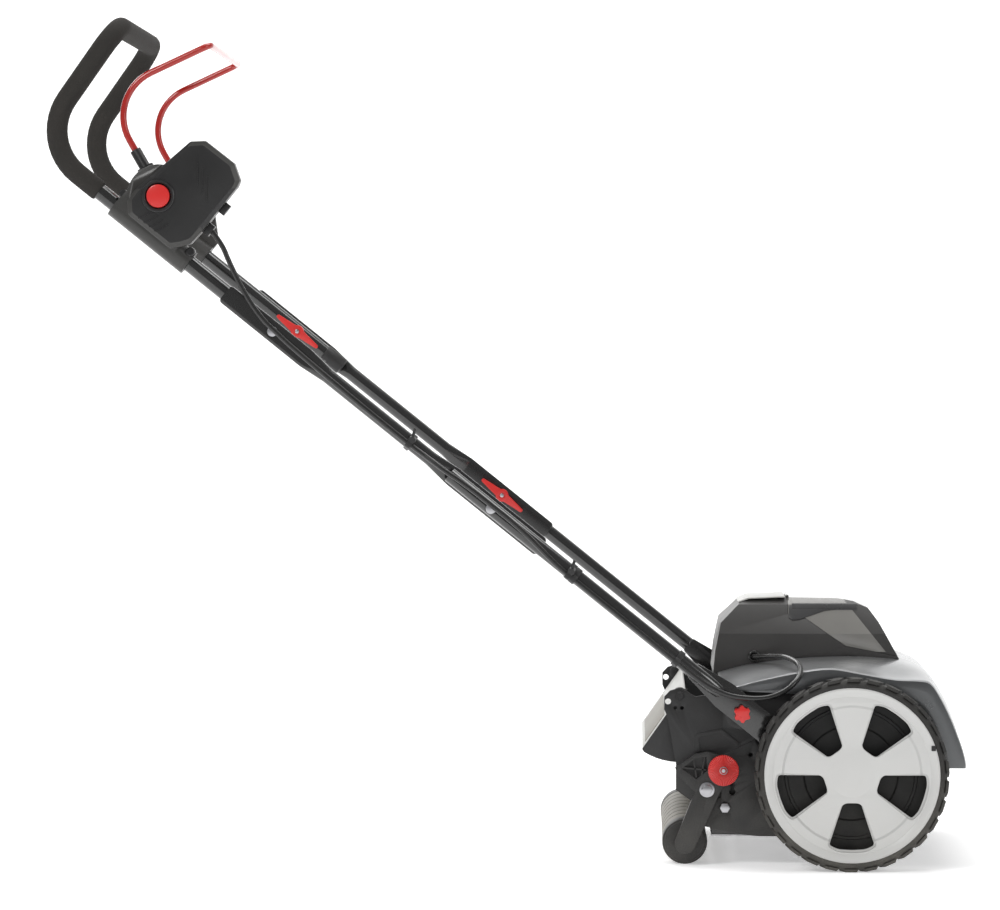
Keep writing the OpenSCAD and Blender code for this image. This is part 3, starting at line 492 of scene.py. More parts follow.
def plateMesh(outline, holes, thick, bevel, name, inset=1):
    # a flat plate drawn in (x, z), thick along y and centred on it, with rounded edges
    curve = bpy.data.curves.new(name, "CURVE")
    curve.dimensions = "2D"
    curve.fill_mode = "BOTH"
    curve.extrude = (thick / 2 - bevel) * mm
    curve.bevel_depth = bevel * mm
    curve.bevel_resolution = cleaning["plateSteps"]
    curve.offset = -bevel * mm * inset
    for loop in [outline] + list(holes):
        spline = curve.splines.new("POLY")
        spline.points.add(len(loop) - 1)
        spline.points.foreach_set("co", [c for p in loop for c in (p[0] * mm, p[1] * mm, 0, 1)])
        spline.use_cyclic_u = True
    mesh = settle(linked(bpy.data.objects.new(name, curve)), name)
    bpy.data.curves.remove(curve)
    bm = bmesh.new()
    bm.from_mesh(mesh)
    bpy.data.meshes.remove(mesh)
    bmesh.ops.remove_doubles(bm, verts=bm.verts, dist=cleaning["plateJoin"])
    bmesh.ops.rotate(bm, cent=(0, 0, 0), matrix=Matrix.Rotation(turn(90), 3, "X"), verts=bm.verts)
    bmesh.ops.recalc_face_normals(bm, faces=bm.faces)
    return bm


def moved(bm, offset, spin=None):
    if spin:
        bmesh.ops.rotate(bm, cent=(0, 0, 0), matrix=spin, verts=bm.verts)
    bmesh.ops.translate(bm, vec=Vector(offset), verts=bm.verts)
    return bm


def block(x, y, z, lift=0.0, tip=0.0):  # a plain box, its sizes in mm, tipped about Y
    bm = bmesh.new()
    bmesh.ops.create_cube(bm, size=1.0)
    for v in bm.verts:
        v.co = Vector((v.co.x * x * mm, v.co.y * y * mm, (v.co.z * z + lift) * mm))
    if tip:
        bmesh.ops.rotate(bm, cent=(0, 0, 0), matrix=Matrix.Rotation(tip, 3, "Y"), verts=bm.verts)
    return bm


def arc(centre, r, a, b, steps):
    return [(centre[0] + r * math.cos(turn(a + (b - a) * k / steps)),
             centre[1] + r * math.sin(turn(a + (b - a) * k / steps))) for k in range(steps + 1)]


def smoothLine(points, per):  # a curve through the points
    out = []
    last = len(points) - 1
    for i in range(last):
        a, b, c, d = (points[max(i - 1, 0)], points[i], points[i + 1], points[min(i + 2, last)])
        for k in range(per):
            t = k / per
            out.append(0.5 * ((2 * b) + (c - a) * t + (2 * a - 5 * b + 4 * c - d) * t * t
                              + (3 * b - a - 3 * c + d) * t ** 3))
    out.append(points[-1])
    return out


# ---- geometry node trees for what repeats
def aroundTree():
    tree, given, out = newTree("repeatAround", "GeometryNodeTree", [
        ("Piece", "NodeSocketObject", None), ("Count", "NodeSocketInt", 12), ("Centre", "NodeSocketVector", None),
        ("First angle", "NodeSocketFloat", 0.0), ("Material", "NodeSocketMaterial", None)],
        [("Geometry", "NodeSocketGeometry")])
    piece = add(tree, "GeometryNodeObjectInfo", None, Object=given.outputs[0])
    points = add(tree, "GeometryNodePoints", None, Count=given.outputs[1], Position=given.outputs[2])
    index = add(tree, "GeometryNodeInputIndex").outputs[0]
    share = mathNode(tree, "DIVIDE", mathNode(tree, "MULTIPLY", index, math.tau), given.outputs[1])
    angle = mathNode(tree, "ADD", share, given.outputs[3])
    spin = add(tree, "ShaderNodeCombineXYZ", None, Y=angle)
    laid = add(tree, "GeometryNodeInstanceOnPoints", None, Points=points.outputs[0],
               Instance=piece.outputs["Geometry"], Rotation=spin.outputs[0])
    real = add(tree, "GeometryNodeRealizeInstances", None, Geometry=laid.outputs[0])
    coloured = add(tree, "GeometryNodeSetMaterial", None, Geometry=real.outputs[0], Material=given.outputs[4])
    tree.links.new(coloured.outputs[0], out.inputs[0])
    return tree


def alongTree():
    tree, given, out = newTree("repeatAlong", "GeometryNodeTree", [
        ("Piece", "NodeSocketObject", None), ("Count", "NodeSocketInt", 4), ("Start", "NodeSocketVector", None),
        ("Step", "NodeSocketVector", None), ("Material", "NodeSocketMaterial", None)],
        [("Geometry", "NodeSocketGeometry")])
    piece = add(tree, "GeometryNodeObjectInfo", None, Object=given.outputs[0])
    index = add(tree, "GeometryNodeInputIndex").outputs[0]
    shift = add(tree, "ShaderNodeVectorMath", {"operation": "SCALE"}, i0=given.outputs[3])
    tree.links.new(index, shift.inputs["Scale"])
    place = add(tree, "ShaderNodeVectorMath", {"operation": "ADD"}, i0=given.outputs[2], i1=shift.outputs[0])
    points = add(tree, "GeometryNodePoints", None, Count=given.outputs[1], Position=place.outputs[0])
    laid = add(tree, "GeometryNodeInstanceOnPoints", None, Points=points.outputs[0],
               Instance=piece.outputs["Geometry"])
    real = add(tree, "GeometryNodeRealizeInstances", None, Geometry=laid.outputs[0])
    coloured = add(tree, "GeometryNodeSetMaterial", None, Geometry=real.outputs[0], Material=given.outputs[4])
    tree.links.new(coloured.outputs[0], out.inputs[0])
    return tree


repeats = {"around": aroundTree(), "along": alongTree()}


def repeated(kind, bm, name, skin, **values):  # a bmesh laid out by one of the trees, back as a bmesh
    seed = bpy.data.objects.new(name + "Seed", toMesh(bm, name + "Seed"))
    worker = bpy.data.objects.new(name + "Worker", bpy.data.meshes.new(name))
    for thing in (seed, worker):
        linked(thing)
    layout = worker.modifiers.new("layout", "NODES")
    tree = repeats[kind]
    sockets = {item.name: item.identifier for item in tree.interface.items_tree if item.in_out == "INPUT"}
    layout.node_group = tree
    layout[sockets["Piece"]] = seed
    layout[sockets["Material"]] = skins[skin]
    for key, value in values.items():
        layout[sockets[key.replace("_", " ")]] = value
    mesh = settle(worker, name)
    bpy.data.objects.remove(seed)
    result = bmesh.new()
    result.from_mesh(mesh)
    bpy.data.meshes.remove(mesh)
    for face in result.faces:
        face.material_index = 0
    return result


# ---- camera, floor and light
stageSettings = {"focal": 148.0, "sensor": 36.0, "clip": 60.0, "from": (-284.7, -5642.0, 707.5), "left": 135.0,
                 "above": 123.0, "reach": 4110.0, "around": 0.34}
paperSettings = {"half": 12.0, "front": -9.0, "flatTo": 2.2, "bend": 1.5, "top": 9.0, "tone": 0.93, "rough": 0.9,
                 "glow": 0.36}
lamps = {"key": {"at": (-2.4, -3.0, 3.2), "to": (-0.1, 0, 0.4), "size": (1.8, 1.2), "power": 78},
         "fill": {"at": (3.4, -2.6, 1.8), "to": (0.2, 0, 0.3), "size": (1.2, 2.0), "power": 34},
         "top": {"at": (0.3, 0.4, 3.6), "to": (0.1, 0, 0.3), "size": (3.0, 1.6), "power": 70},
         "rear": {"at": (-1.5, 2.6, 2.4), "to": (0, 0, 0.4), "size": (2.4, 1.0), "power": 30}}


def makeCamera():
    data = bpy.data.cameras.new("camera")
    data.lens = stageSettings["focal"]
    data.sensor_width = stageSettings["sensor"]
    data.clip_end = stageSettings["clip"]
    camera = linked(bpy.data.objects.new("camera", data))
    yaw = math.atan(stageSettings["left"] / stageSettings["reach"])
    pitch = math.atan(stageSettings["above"] / stageSettings["reach"] * math.cos(yaw))
    ahead = Vector((-math.sin(yaw) * math.cos(pitch), math.cos(yaw) * math.cos(pitch), -math.sin(pitch)))
    right = Vector((math.cos(yaw), math.sin(yaw), 0))
    basis = Matrix((right, right.cross(ahead), -ahead)).transposed().to_4x4()
    camera.matrix_world = Matrix.Translation(at(*stageSettings["from"])) @ basis
    bpy.context.scene.camera = camera


def makePaper():
    flatTo, bend = paperSettings["flatTo"], paperSettings["bend"]
    profile = [(paperSettings["front"], 0.0), (flatTo, 0.0)]
    for t in (0.3, 0.6, 0.9, 1.2, math.pi / 2):
        profile.append((flatTo + bend * math.sin(t), bend - bend * math.cos(t)))
    profile.append((flatTo + bend, paperSettings["top"]))
    bm = bmesh.new()
    rows = [[bm.verts.new((x, y, z)) for y, z in profile] for x in (-paperSettings["half"], paperSettings["half"])]
    for k in range(len(profile) - 1):
        bm.faces.new((rows[0][k], rows[1][k], rows[1][k + 1], rows[0][k + 1]))
    floor = linked(bpy.data.objects.new("studioFloor", toMesh(bm, "studioFloor")))
    paper = bpy.data.materials.new("paper")
    paper.use_nodes = True
    shader = paper.node_tree.nodes["Principled BSDF"]
    shader.inputs["Base Color"].default_value = rgb(*[paperSettings["tone"]] * 3)
    shader.inputs["Roughness"].default_value = paperSettings["rough"]
    shader.inputs["Emission Color"].default_value = rgb(1.0, 1.0, 1.0)
    shader.inputs["Emission Strength"].default_value = paperSettings["glow"]
    # the paper's back is clear, so the mower can be looked at from behind too
    nodes, links = paper.node_tree.nodes, paper.node_tree.links
    clear = nodes.new("ShaderNodeBsdfTransparent")
    facing = nodes.new("ShaderNodeNewGeometry")
    mix = nodes.new("ShaderNodeMixShader")
    links.new(facing.outputs["Backfacing"], mix.inputs[0])
    links.new(shader.outputs["BSDF"], mix.inputs[1])
    links.new(clear.outputs["BSDF"], mix.inputs[2])
    links.new(mix.outputs["Shader"], nodes["Material Output"].inputs["Surface"])
    floor.data.materials.append(paper)
    for polygon in floor.data.polygons:
        polygon.use_smooth = True


def makeLights():
    world = bpy.data.worlds.new("studio")
    bpy.context.scene.world = world
    world.use_nodes = True
    background = world.node_tree.nodes["Background"]
    background.inputs["Color"].default_value = rgb(1.0, 1.0, 1.0)
    background.inputs["Strength"].default_value = stageSettings["around"]
    for name, lamp in lamps.items():
        light = bpy.data.lights.new(name, "AREA")
        light.shape = "RECTANGLE"
        light.size, light.size_y = lamp["size"]
        light.energy = lamp["power"]
        held = linked(bpy.data.objects.new(name, light))
        held.location = lamp["at"]
        held.rotation_euler = (Vector(lamp["to"]) - Vector(lamp["at"])).to_track_quat("-Z", "Y").to_euler()
    bpy.context.scene.view_settings.view_transform = "Standard"


makeCamera()
makePaper()
makeLights()
print("camera, floor and light made")

# ---- wheels
wheel = {"outer": 127.0, "rim": 115.5, "inside": 228.0, "outside": 268.0, "windows": 5, "lugs": 30, "lugHigh": 2.6,
         "windowNear": 35.0, "windowFar": 98.5, "windowNarrow": 12.0, "windowWide": 31.0, "ledge": 3.6,
         "rib": (3, 16, 76), "ribAt": 62, "clip": (6, 3, 7), "clipAt": (106, 266.2, 163.4)}


def makeTyre(side, name, body):
    centre = at(0, 0, wheel["outer"])
    top = wheel["outer"] - wheel["lugHigh"]
    near, far = wheel["inside"], wheel["outside"]
    profile = [(wheel["rim"] - 1.5, near + 3), (wheel["rim"] + 1, near + 1.2), (118.5, near + 0.6),
               (120.5, near + 1.4), (122.2, near + 3.2), (top, near + 6), (top + 0.5, near + 12),
               (top + 0.5, far - 12), (top, far - 6), (122.2, far - 3.2), (120.5, far - 1.4),
               (118.5, far - 0.6), (wheel["rim"] + 1, far - 1.2), (wheel["rim"] - 1.5, far - 3)]
    ring = lathe([(r, side * h) for r, h in profile], centre, 120, closed=True)
    lug = bmesh.new()
    across = [(-19.2, 0.0), (-17.0, 1.2), (-6.0, 6.0), (0.0, 8.4), (6.0, 6.0), (17.0, 1.2), (19.2, 0.0)]
    base, tip, half = top - 1.5, wheel["outer"] - 0.1, 8.6
    rows = []
    for y, lead in across:
        high = tip if abs(y) < 18 else tip - 3.0
        rows.append([lug.verts.new(((lead + dx) * mm, y * mm, r * mm)) for dx, r in (
            (-half, base), (-half + 1, high - 0.5), (-half + 1.6, high), (half - 1.6, high), (half - 1, high - 0.5),
            (half, base))])
    for a, b in zip(rows, rows[1:]):
        for k in range(6):
            n = (k + 1) % 6
            lug.faces.new((a[k], a[n], b[n], b[k]))
    lug.faces.new(rows[0])
    lug.faces.new(list(reversed(rows[-1])))
    bmesh.ops.recalc_face_normals(lug, faces=lug.faces)
    middle = centre + Vector((0, side * (near + far) / 2 * mm, 0))
    lugs = repeated("around", lug, name + "Lugs", "tyreRubber", Count=wheel["lugs"], Centre=middle)
    makePiece(name, merged([ring, lugs], name), "tyreRubber", body, "tyre_rubber",
              "tyre_right" if side < 0 else "tyre_left", smooth=28)


def makeRim(side, name, body):
    centre = at(0, 0, wheel["outer"])
    face = wheel["outside"]
    count = wheel["windows"]
    near, far = wheel["windowNear"], wheel["windowFar"]
    narrow, wide, ledge = wheel["windowNarrow"], wheel["windowWide"], wheel["ledge"]
    window = rounded([(-narrow, -near), (narrow, -near), (wide, 6 - far), (wide * 0.6, -far), (0, -far - 1.2),
                      (-wide * 0.6, -far), (-wide, 6 - far)], 5)
    wider = rounded([(-narrow - 1, -near), (narrow + 1, -near), (wide + ledge, 5 - far), (wide * 0.6, -far - ledge),
                     (0, -far - ledge - 1), (-wide * 0.6, -far - ledge), (-wide - ledge, 5 - far)], 8)
    loops = []
    for shape in (window, wider):
        loops.append([[(Matrix.Rotation(math.tau * i / count, 2) @ Vector(p))[:] for p in reversed(shape)]
                      for i in range(count)])
    disc = arc((0, 0), 104.0, 0, 360, 119)[:-1]
    front = moved(plateMesh(disc, loops[1], 5.0, 1.6, "front", inset=0),
                  centre + Vector((0, side * (face - 8.0) * mm, 0)))
    back = moved(plateMesh(disc, loops[0], 5.0, 1.0, "back", inset=0),
                 centre + Vector((0, side * (face - 12.4) * mm, 0)))
    # flange, dished step and barrel in one turned section
    section = [(103, -6.0), (104, -5.0), (108, -3.2), (110.5, -2.0), (113, -1.4), (115.2, -2.4), (115.9, -5),
               (115.4, -9), (115.4, -36), (115.9, -38), (113.5, -39.5), (110.5, -38), (109.5, -34), (109.3, -16),
               (103, -15)]
    barrel = lathe([(r, side * (face + h)) for r, h in section], centre, 120, closed=True)
    hub = lathe([(0, side * (face - 4.2)), (10, side * (face - 4.3)), (22, side * (face - 4.8)),
                 (30, side * (face - 5.6)), (32, side * (face - 7.5)), (20, side * (face - 14)),
                 (18.5, side * (face - 16)), (17.5, side * (wheel["inside"] + 1)), (7, side * (wheel["inside"] + 1)),
                 (6.3, side * (wheel["inside"] + 8)), (0, side * (wheel["inside"] + 8))], centre, 72)
    # shallow ribs behind the spokes
    rib = block(*wheel["rib"], lift=wheel["ribAt"])
    start = centre + Vector((0, side * (face - 24) * mm, 0))
    ribs = repeated("around", rib, name + "Ribs", "rimGrey", Count=count, Centre=start)
    makePiece(name, merged([front, back, barrel, hub, ribs], name), "rimGrey", body, "rim_grey",
              "rim_right" if side < 0 else "rim_left", smooth=26)


def makeDisc(side, name, body):
    centre = at(0, 0, wheel["outer"])
    y = wheel["inside"]
    section = [(18, y + 3), (108.3, y + 3), (108.5, y + 3.2), (108.5, y + 4.8), (108.3, y + 5), (88, y + 5),
               (87, y + 7), (84, y + 7), (83, y + 5), (34, y + 5), (33, y + 7.4), (30, y + 7.4), (29, y + 5),
               (18, y + 5)]
    makePiece(name, toMesh(lathe([(r, side * h) for r, h in section], centre, 96, closed=True), name),
              "discPlastic", body, "plastic_black", "wheel_disc_right" if side < 0 else "wheel_disc_left", smooth=26)


for sideSign, word in bothSides:
    makeDisc(sideSign, "disc" + word.title(), "wheel_" + word)
    makeTyre(sideSign, "tyre" + word.title(), "wheel_" + word)
    makeRim(sideSign, "rim" + word.title(), "wheel_" + word)
print("wheels made")

# ---- hood: a crowned shell with a crease along each side
hood = {"half": 208.0, "wall": 2.6, "edge": 0.9, "sideLean": 0.6, "sideFrom": 0.19,
        # how far across, and how much of the crease is in the crown there
        "stations": [(0.0, 0.0), (40, 0.0), (80, 0.01), (110, 0.06), (135, 0.2), (155, 0.42), (175, 0.7),
                     (190, 0.88), (200, 0.97)],
        # how far inside the side face, and how far down from the crease
        "side": [(3.5, 0.006), (0.8, 0.05), (0, 0.13), (0, 0.4), (0, 0.7), (0, 1.0)],
        "crown": [(-173, 248), (-146, 256), (-116, 262), (-62, 268), (6, 270.5), (46, 269), (72, 266), (92, 259),
                  (110, 248), (125, 227), (139, 198), (150, 162), (155, 140), (155.5, 131)],
        "crease": [(-171, 246), (-155, 238.5), (-119, 247), (-69, 258), (-27, 263), (16, 256), (59, 248.5),
                   (90, 247.5), (106, 244), (119, 226), (133, 198), (147, 162), (153, 140), (153.5, 131)],
        "low": [(-166, 240), (-150, 233), (-110, 231), (-60, 228.5), (0, 228), (30, 228), (60, 226), (82, 216),
                (98, 203), (108, 184), (114, 168), (119, 152), (122, 140), (123, 131)]}


def makeHood():
    def sampled(points):
        return smoothLine([Vector((x, z)) for x, z in points], 4)
    crown, crease, low = (sampled(hood[key]) for key in ("crown", "crease", "low"))
    rows = []
    for y, w in hood["stations"]:
        rows.append([at(p.x, y, p.y) for p in (a.lerp(b, w) for a, b in zip(crown, crease))])
    for inside, drop in hood["side"]:
        y = hood["half"] - inside
        rows.append([at(p.x, y, p.y) for p in (b.lerp(c, drop) for b, c in zip(crease, low))])
    mirrored = [[Vector((p.x, -p.y, p.z)) for p in row] for row in reversed(rows[1:])]
    rows = mirrored + rows
    bm = bmesh.new()
    grid = [[bm.verts.new(p) for p in row] for row in rows]
    for a, b in zip(grid, grid[1:]):
        for k in range(len(a) - 1):
            bm.faces.new((a[k], a[k + 1], b[k + 1], b[k]))
    bmesh.ops.recalc_face_normals(bm, faces=bm.faces)
    top = max(bm.faces, key=lambda f: f.calc_center_median().z)
    if top.normal.z < 0:
        bmesh.ops.reverse_faces(bm, faces=bm.faces)
    worker = linked(bpy.data.objects.new("hoodWorker", toMesh(bm, "hoodWorker")))
    shell = worker.modifiers.new("shell", "SOLIDIFY")
    shell.thickness = hood["wall"] * mm
    shell.offset = -1
    edge = worker.modifiers.new("edge", "BEVEL")
    edge.width = hood["edge"] * mm
    edge.segments = 2
    edge.limit_method = "ANGLE"
    edge.angle_limit = turn(50)
    mesh = settle(worker, "hood")
    shellPiece = makePiece("hoodShell", mesh, "hoodSilver", "deck", "hood_silver", "hood", smooth=40,
                           extra=("hoodSideShade",))
    # painted shade: the side faces of the one silver shell get the darker copy of the silver, standing in for the
    # shade and dark reflections on them
    for polygon in shellPiece.data.polygons:
        isShadedSide = abs(polygon.normal.y) > hood["sideLean"] and abs(polygon.center.y) > hood["sideFrom"]
        polygon.material_index = 1 if isShadedSide else 0


makeHood()
print("hood made")

# ---- battery housing, lid and panels
softened("battery_housing", "housingPlastic", "deck", "plastic_dark", width=3.2, segments=4, angle=14)
lidPiece = softened("battery_lid", "smoked", "battery_lid", "lid_smoke", width=3.2, segments=4, angle=14)
lidPiece.data.materials.append(skins["housingPlastic"])
lidBand = {"corner": (5.8, 0, 335.8), "slope": (0.779, 0, 0.627), "foot": (0, 0, 276), "clearTo": 0.05}


def bandLid():
    # the clear window has a dark band along its front edge and its foot
    corner, slope, foot = at(*lidBand["corner"]), Vector(lidBand["slope"]), at(*lidBand["foot"])
    bm = bmesh.new()
    bm.from_mesh(lidPiece.data)
    for place, normal in ((corner, slope), (foot, Vector((0, 0, 1)))):
        bmesh.ops.bisect_plane(bm, geom=bm.verts[:] + bm.edges[:] + bm.faces[:], plane_co=place, plane_no=normal)
    for face in bm.faces:
        middle = face.calc_center_median()
        dark = (middle - corner).dot(slope) > 0 or middle.z < foot.z
        face.material_index = 1 if dark and abs(middle.y) > lidBand["clearTo"] else 0
    bm.to_mesh(lidPiece.data)
    bm.free()


bandLid()
softened("top_panel", "panelLight", "deck", "panel_light", width=0.8, segments=3, angle=14)
softened("lid_bar", "barGrey", "battery_lid", "plastic_dark", width=1.6, segments=3, angle=14)
softened("battery", "housingPlastic", "deck", "plastic_dark", width=4, segments=3)
softened("cable_grommet", "cableBlack", "deck", "cable_black", width=1.6, segments=3)

# ---- deck, flap and drive
for node, skin, body, slotName, width in (
        ("side_plate_right", "blackPlastic", "deck", "plastic_black", 0.9),
        ("side_plate_left", "blackPlastic", "deck", "plastic_black", 0.9),
        ("tie_rods", "zinc", "deck", "zinc", 0.6),
        ("stub_axles", "zinc", "deck", "zinc", 0.6),
        ("flap_face", "flapLight", "flap", "flap_light", 1.0),
        ("flap_cheeks", "blackPlastic", "flap", "plastic_black", 0.8),
        ("motor_body", "darkSteel", "deck", "dark_steel", 2.0),
        ("motor_pulley", "aluminium", "motor_rotor", "aluminium", 0.6),
        ("drive_belt", "beltRubber", "deck", "belt_rubber", 0.5),
        ("belt_cover", "discPlastic", "deck", "plastic_black", 1.6),
        ("reel_shaft", "darkSteel", "reel", "dark_steel", 0.5),
        ("reel_pulley", "aluminium", "reel", "aluminium", 0.6),
        ("reel_bearings", "zinc", "deck", "zinc", 0.6),
        ("bed_knife", "bladeSteel", "deck", "blade_steel", 0.3),
        ("knife_carrier", "darkSteel", "deck", "dark_steel", 1.2),
        ("roller_shaft", "zinc", "roller_frame", "zinc", 0.5),
        ("roller_ends", "blackPlastic", "roller", "plastic_black", 1.6),
        ("roller_arms", "blackPlastic", "roller_frame", "plastic_black", 1.2),
        ("index_knob_right", "indexRed", "index_knob_right", "red_plastic", 1.2),
        ("index_knob_left", "indexRed", "index_knob_left", "red_plastic", 1.2),
        ("lower_bolts", "zinc", "lower_handle", "zinc", 1.4),
        ("star_knob_right", "redPlastic", "star_knob_right", "red_plastic", 1.4),
        ("star_knob_left", "redPlastic", "star_knob_left", "red_plastic", 1.4),
        ("upper_joint_bolts", "zinc", "middle_handle", "zinc", 1.4),
        ("wing_nut_lower_right", "redPlastic", "wing_nut_lower_right", "red_plastic", 1.8),
        ("wing_nut_lower_left", "redPlastic", "wing_nut_lower_left", "red_plastic", 1.8),
        ("wing_nut_upper_right", "redPlastic", "wing_nut_upper_right", "red_plastic", 1.8),
        ("wing_nut_upper_left", "redPlastic", "wing_nut_upper_left", "red_plastic", 1.8),
        ("handle_clamps", "clampPlastic", "upper_handle", "plastic_black", 3.0),
        ("switch_housing", "clampPlastic", "upper_handle", "plastic_black", 1.6),
        ("start_button", "redPlastic", "start_button", "red_plastic", 1.6),
        ("bail_pins", "zinc", "upper_handle", "zinc", 0.8),
        ("bail_hubs", "boxPlastic", "bail", "plastic_black", 1.0),
        ("cable_glands", "boxPlastic", "upper_handle", "plastic_black", 1.6),
        ("cable_clips", "blackPlastic", "lower_handle", "plastic_black", 0.8)):
    softened(node, skin, body, slotName, width)
for node, skin, body, slotName in (("reel_blades", "bladeSteel", "reel", "blade_steel"),
                                   ("switch_springs", "zinc", "upper_handle", "zinc")):
    makePiece(node + "Skin", cleanCopy(node), skin, body, slotName, node)
print("deck and drive made")

# the flap's pins, behind the handle's pivots, are black
flapPins = {"above": 0.2, "behind": at(-200, 0, 0).x}
boltPiece = softened("pivot_bolts", "zinc", "deck", "zinc", width=0.9)
boltPiece.data.materials.append(skins["blackPlastic"])
for polygon in boltPiece.data.polygons:
    isPin = polygon.center.z > flapPins["above"] and polygon.center.x < flapPins["behind"]
    polygon.material_index = 1 if isPin else 0

# painted shade: the faces in the gaps between the roller's segments get the black disc plastic
rollerFace = {"lean": 0.25}
rollerPiece = softened("roller_segments", "rollerGrey", "roller", "roller_grey", width=1.6)
rollerPiece.data.materials.append(skins["discPlastic"])
for polygon in rollerPiece.data.polygons:
    polygon.material_index = 1 if abs(polygon.normal.y) > rollerFace["lean"] else 0

# ---- handle tubes
tubes = {"upperR": 11.0, "foamR": 14.0, "railR": 10.0, "upperY": 200, "middleY": 215, "lowerY": 229,
         "upperFrom": 728, "foamFrom": 1092, "bendFrom": 1130, "bendR": 73, "bendTurn": 86.4, "rise": 80,
         "corner": 38, "lip": 4.0,
         # how far from the foam's end, and how much thinner it is there
         "foamLip": [(4.0, 2.4), (3.6, 1.3), (2.4, 0.45), (0.8, 0.05)],
         "plug": [(-13, 8.4), (-12.6, 10.2), (-11.6, 11.6), (-10, 12.2), (18, 12.2), (19.4, 11.9), (19.8, 11.0)]}


def loopRoute(leg, bend, bendTurn, rise, corner, half, steps):
    angle = turn(bendTurn)
    bent = Vector((leg + bend * math.sin(angle), -bend * (1 - math.cos(angle))))
    ahead = Vector((math.cos(angle), -math.sin(angle)))
    route = [(0, -half, 0), (leg * 0.5, -half, 0)]
    for k in range(steps + 1):
        t = angle * k / steps
        route.append((leg + bend * math.sin(t), -half, -bend * (1 - math.cos(t))))
    for k in range(steps + 1):
        t = turn(90) * k / steps
        p = bent + (rise + corner * math.sin(t)) * ahead
        route.append((p.x, corner * (1 - math.cos(t)) - half, p.y))
    route += [(x, -y, z) for x, y, z in reversed(route)]
    return route


def gripRoute(fromS, shorten=0.0):
    leg = tubes["bendFrom"] - fromS - shorten
    loop = loopRoute(leg, tubes["bendR"], tubes["bendTurn"], tubes["rise"], tubes["corner"], tubes["upperY"], 12)
    return [onLine(fromS + shorten + x, -z, y) for x, y, z in loop]


def makeGrip():
    bare = gripRoute(tubes["upperFrom"])
    makePiece("upperTube", toMesh(sweep(bare, tubes["upperR"] * mm, 32), "upperTube"), "tubeBlack", "upper_handle",
              "tube_black", "upper_handle_tube")
    # the foam's ends are rounded in over a few millimetres
    route = gripRoute(tubes["foamFrom"], tubes["lip"])
    r, lipFrom = tubes["foamR"], tubes["foamFrom"] + tubes["lip"]
    first = [onLine(lipFrom - step, 0, -tubes["upperY"]) for step, _ in tubes["foamLip"]]
    last = [onLine(lipFrom - step, 0, tubes["upperY"]) for step, _ in reversed(tubes["foamLip"])]
    thin = [(r - less) * mm for _, less in tubes["foamLip"]]
    points = first + route + last
    radii = thin + [r * mm] * len(route) + thin[::-1]
    makePiece("foamGrip", toMesh(sweep(points, radii, 36), "foamGrip"), "foam", "upper_handle", "foam", "foam_grip")
    plugs = []
    for y in (-tubes["upperY"], tubes["upperY"]):
        line = [onLine(tubes["upperFrom"] + ds, 0, y) for ds, _ in tubes["plug"]]
        plugs.append(sweep(line, [radius * mm for _, radius in tubes["plug"]], 32))
    makePiece("tubeEndPlugs", merged(plugs, "tubeEndPlugs"), "blackPlastic", "upper_handle", "plastic_black")


def railSection(s, y, high, thick, power):  # a ring of a flattened tube
    ring = []
    for k in range(32):
        a = math.tau * k / 32
        c, q = math.cos(a), math.sin(a)
        v = math.copysign(abs(c) ** (2 / power), c) * high
        w = math.copysign(abs(q) ** (2 / power), q) * thick
        ring.append(onLine(s, v, y + w))
    return ring


def loft(rings):
    bm = bmesh.new()
    made = [[bm.verts.new(p) for p in ring] for ring in rings]
    count = len(made[0])
    for a, b in zip(made, made[1:]):
        for k in range(count):
            bm.faces.new((a[k], a[(k + 1) % count], b[(k + 1) % count], b[k]))
    bm.faces.new(made[0])
    bm.faces.new(list(reversed(made[-1])))
    bmesh.ops.recalc_face_normals(bm, faces=bm.faces)
    return bm


rails = {"from": 340, "flatTo": 490, "flatFrom": 740, "to": 877, "high": 13.5, "thick": 3.6, "blend": 38,
         "lower": 3.5, "thicker": 6.4,
         "ends": [(0.0, 0.7), (0.3, 0.77), (1.0, 0.87), (2.2, 0.95), (4, 1.0), (8, 1.0)],
         "blendSteps": [(0.0, 5.0), (0.15, 4.4), (0.4, 3.2), (0.7, 2.4), (0.9, 2.1), (1.0, 2.0)]}


def flatRing(s, y, share=1.0):
    return railSection(s, y, rails["high"] * share, rails["thick"], 5)


def blendRing(s, y, t, power):  # from flat at 0 to round at 1
    return railSection(s, y, rails["high"] - rails["lower"] * t, rails["thick"] + rails["thicker"] * t, power)


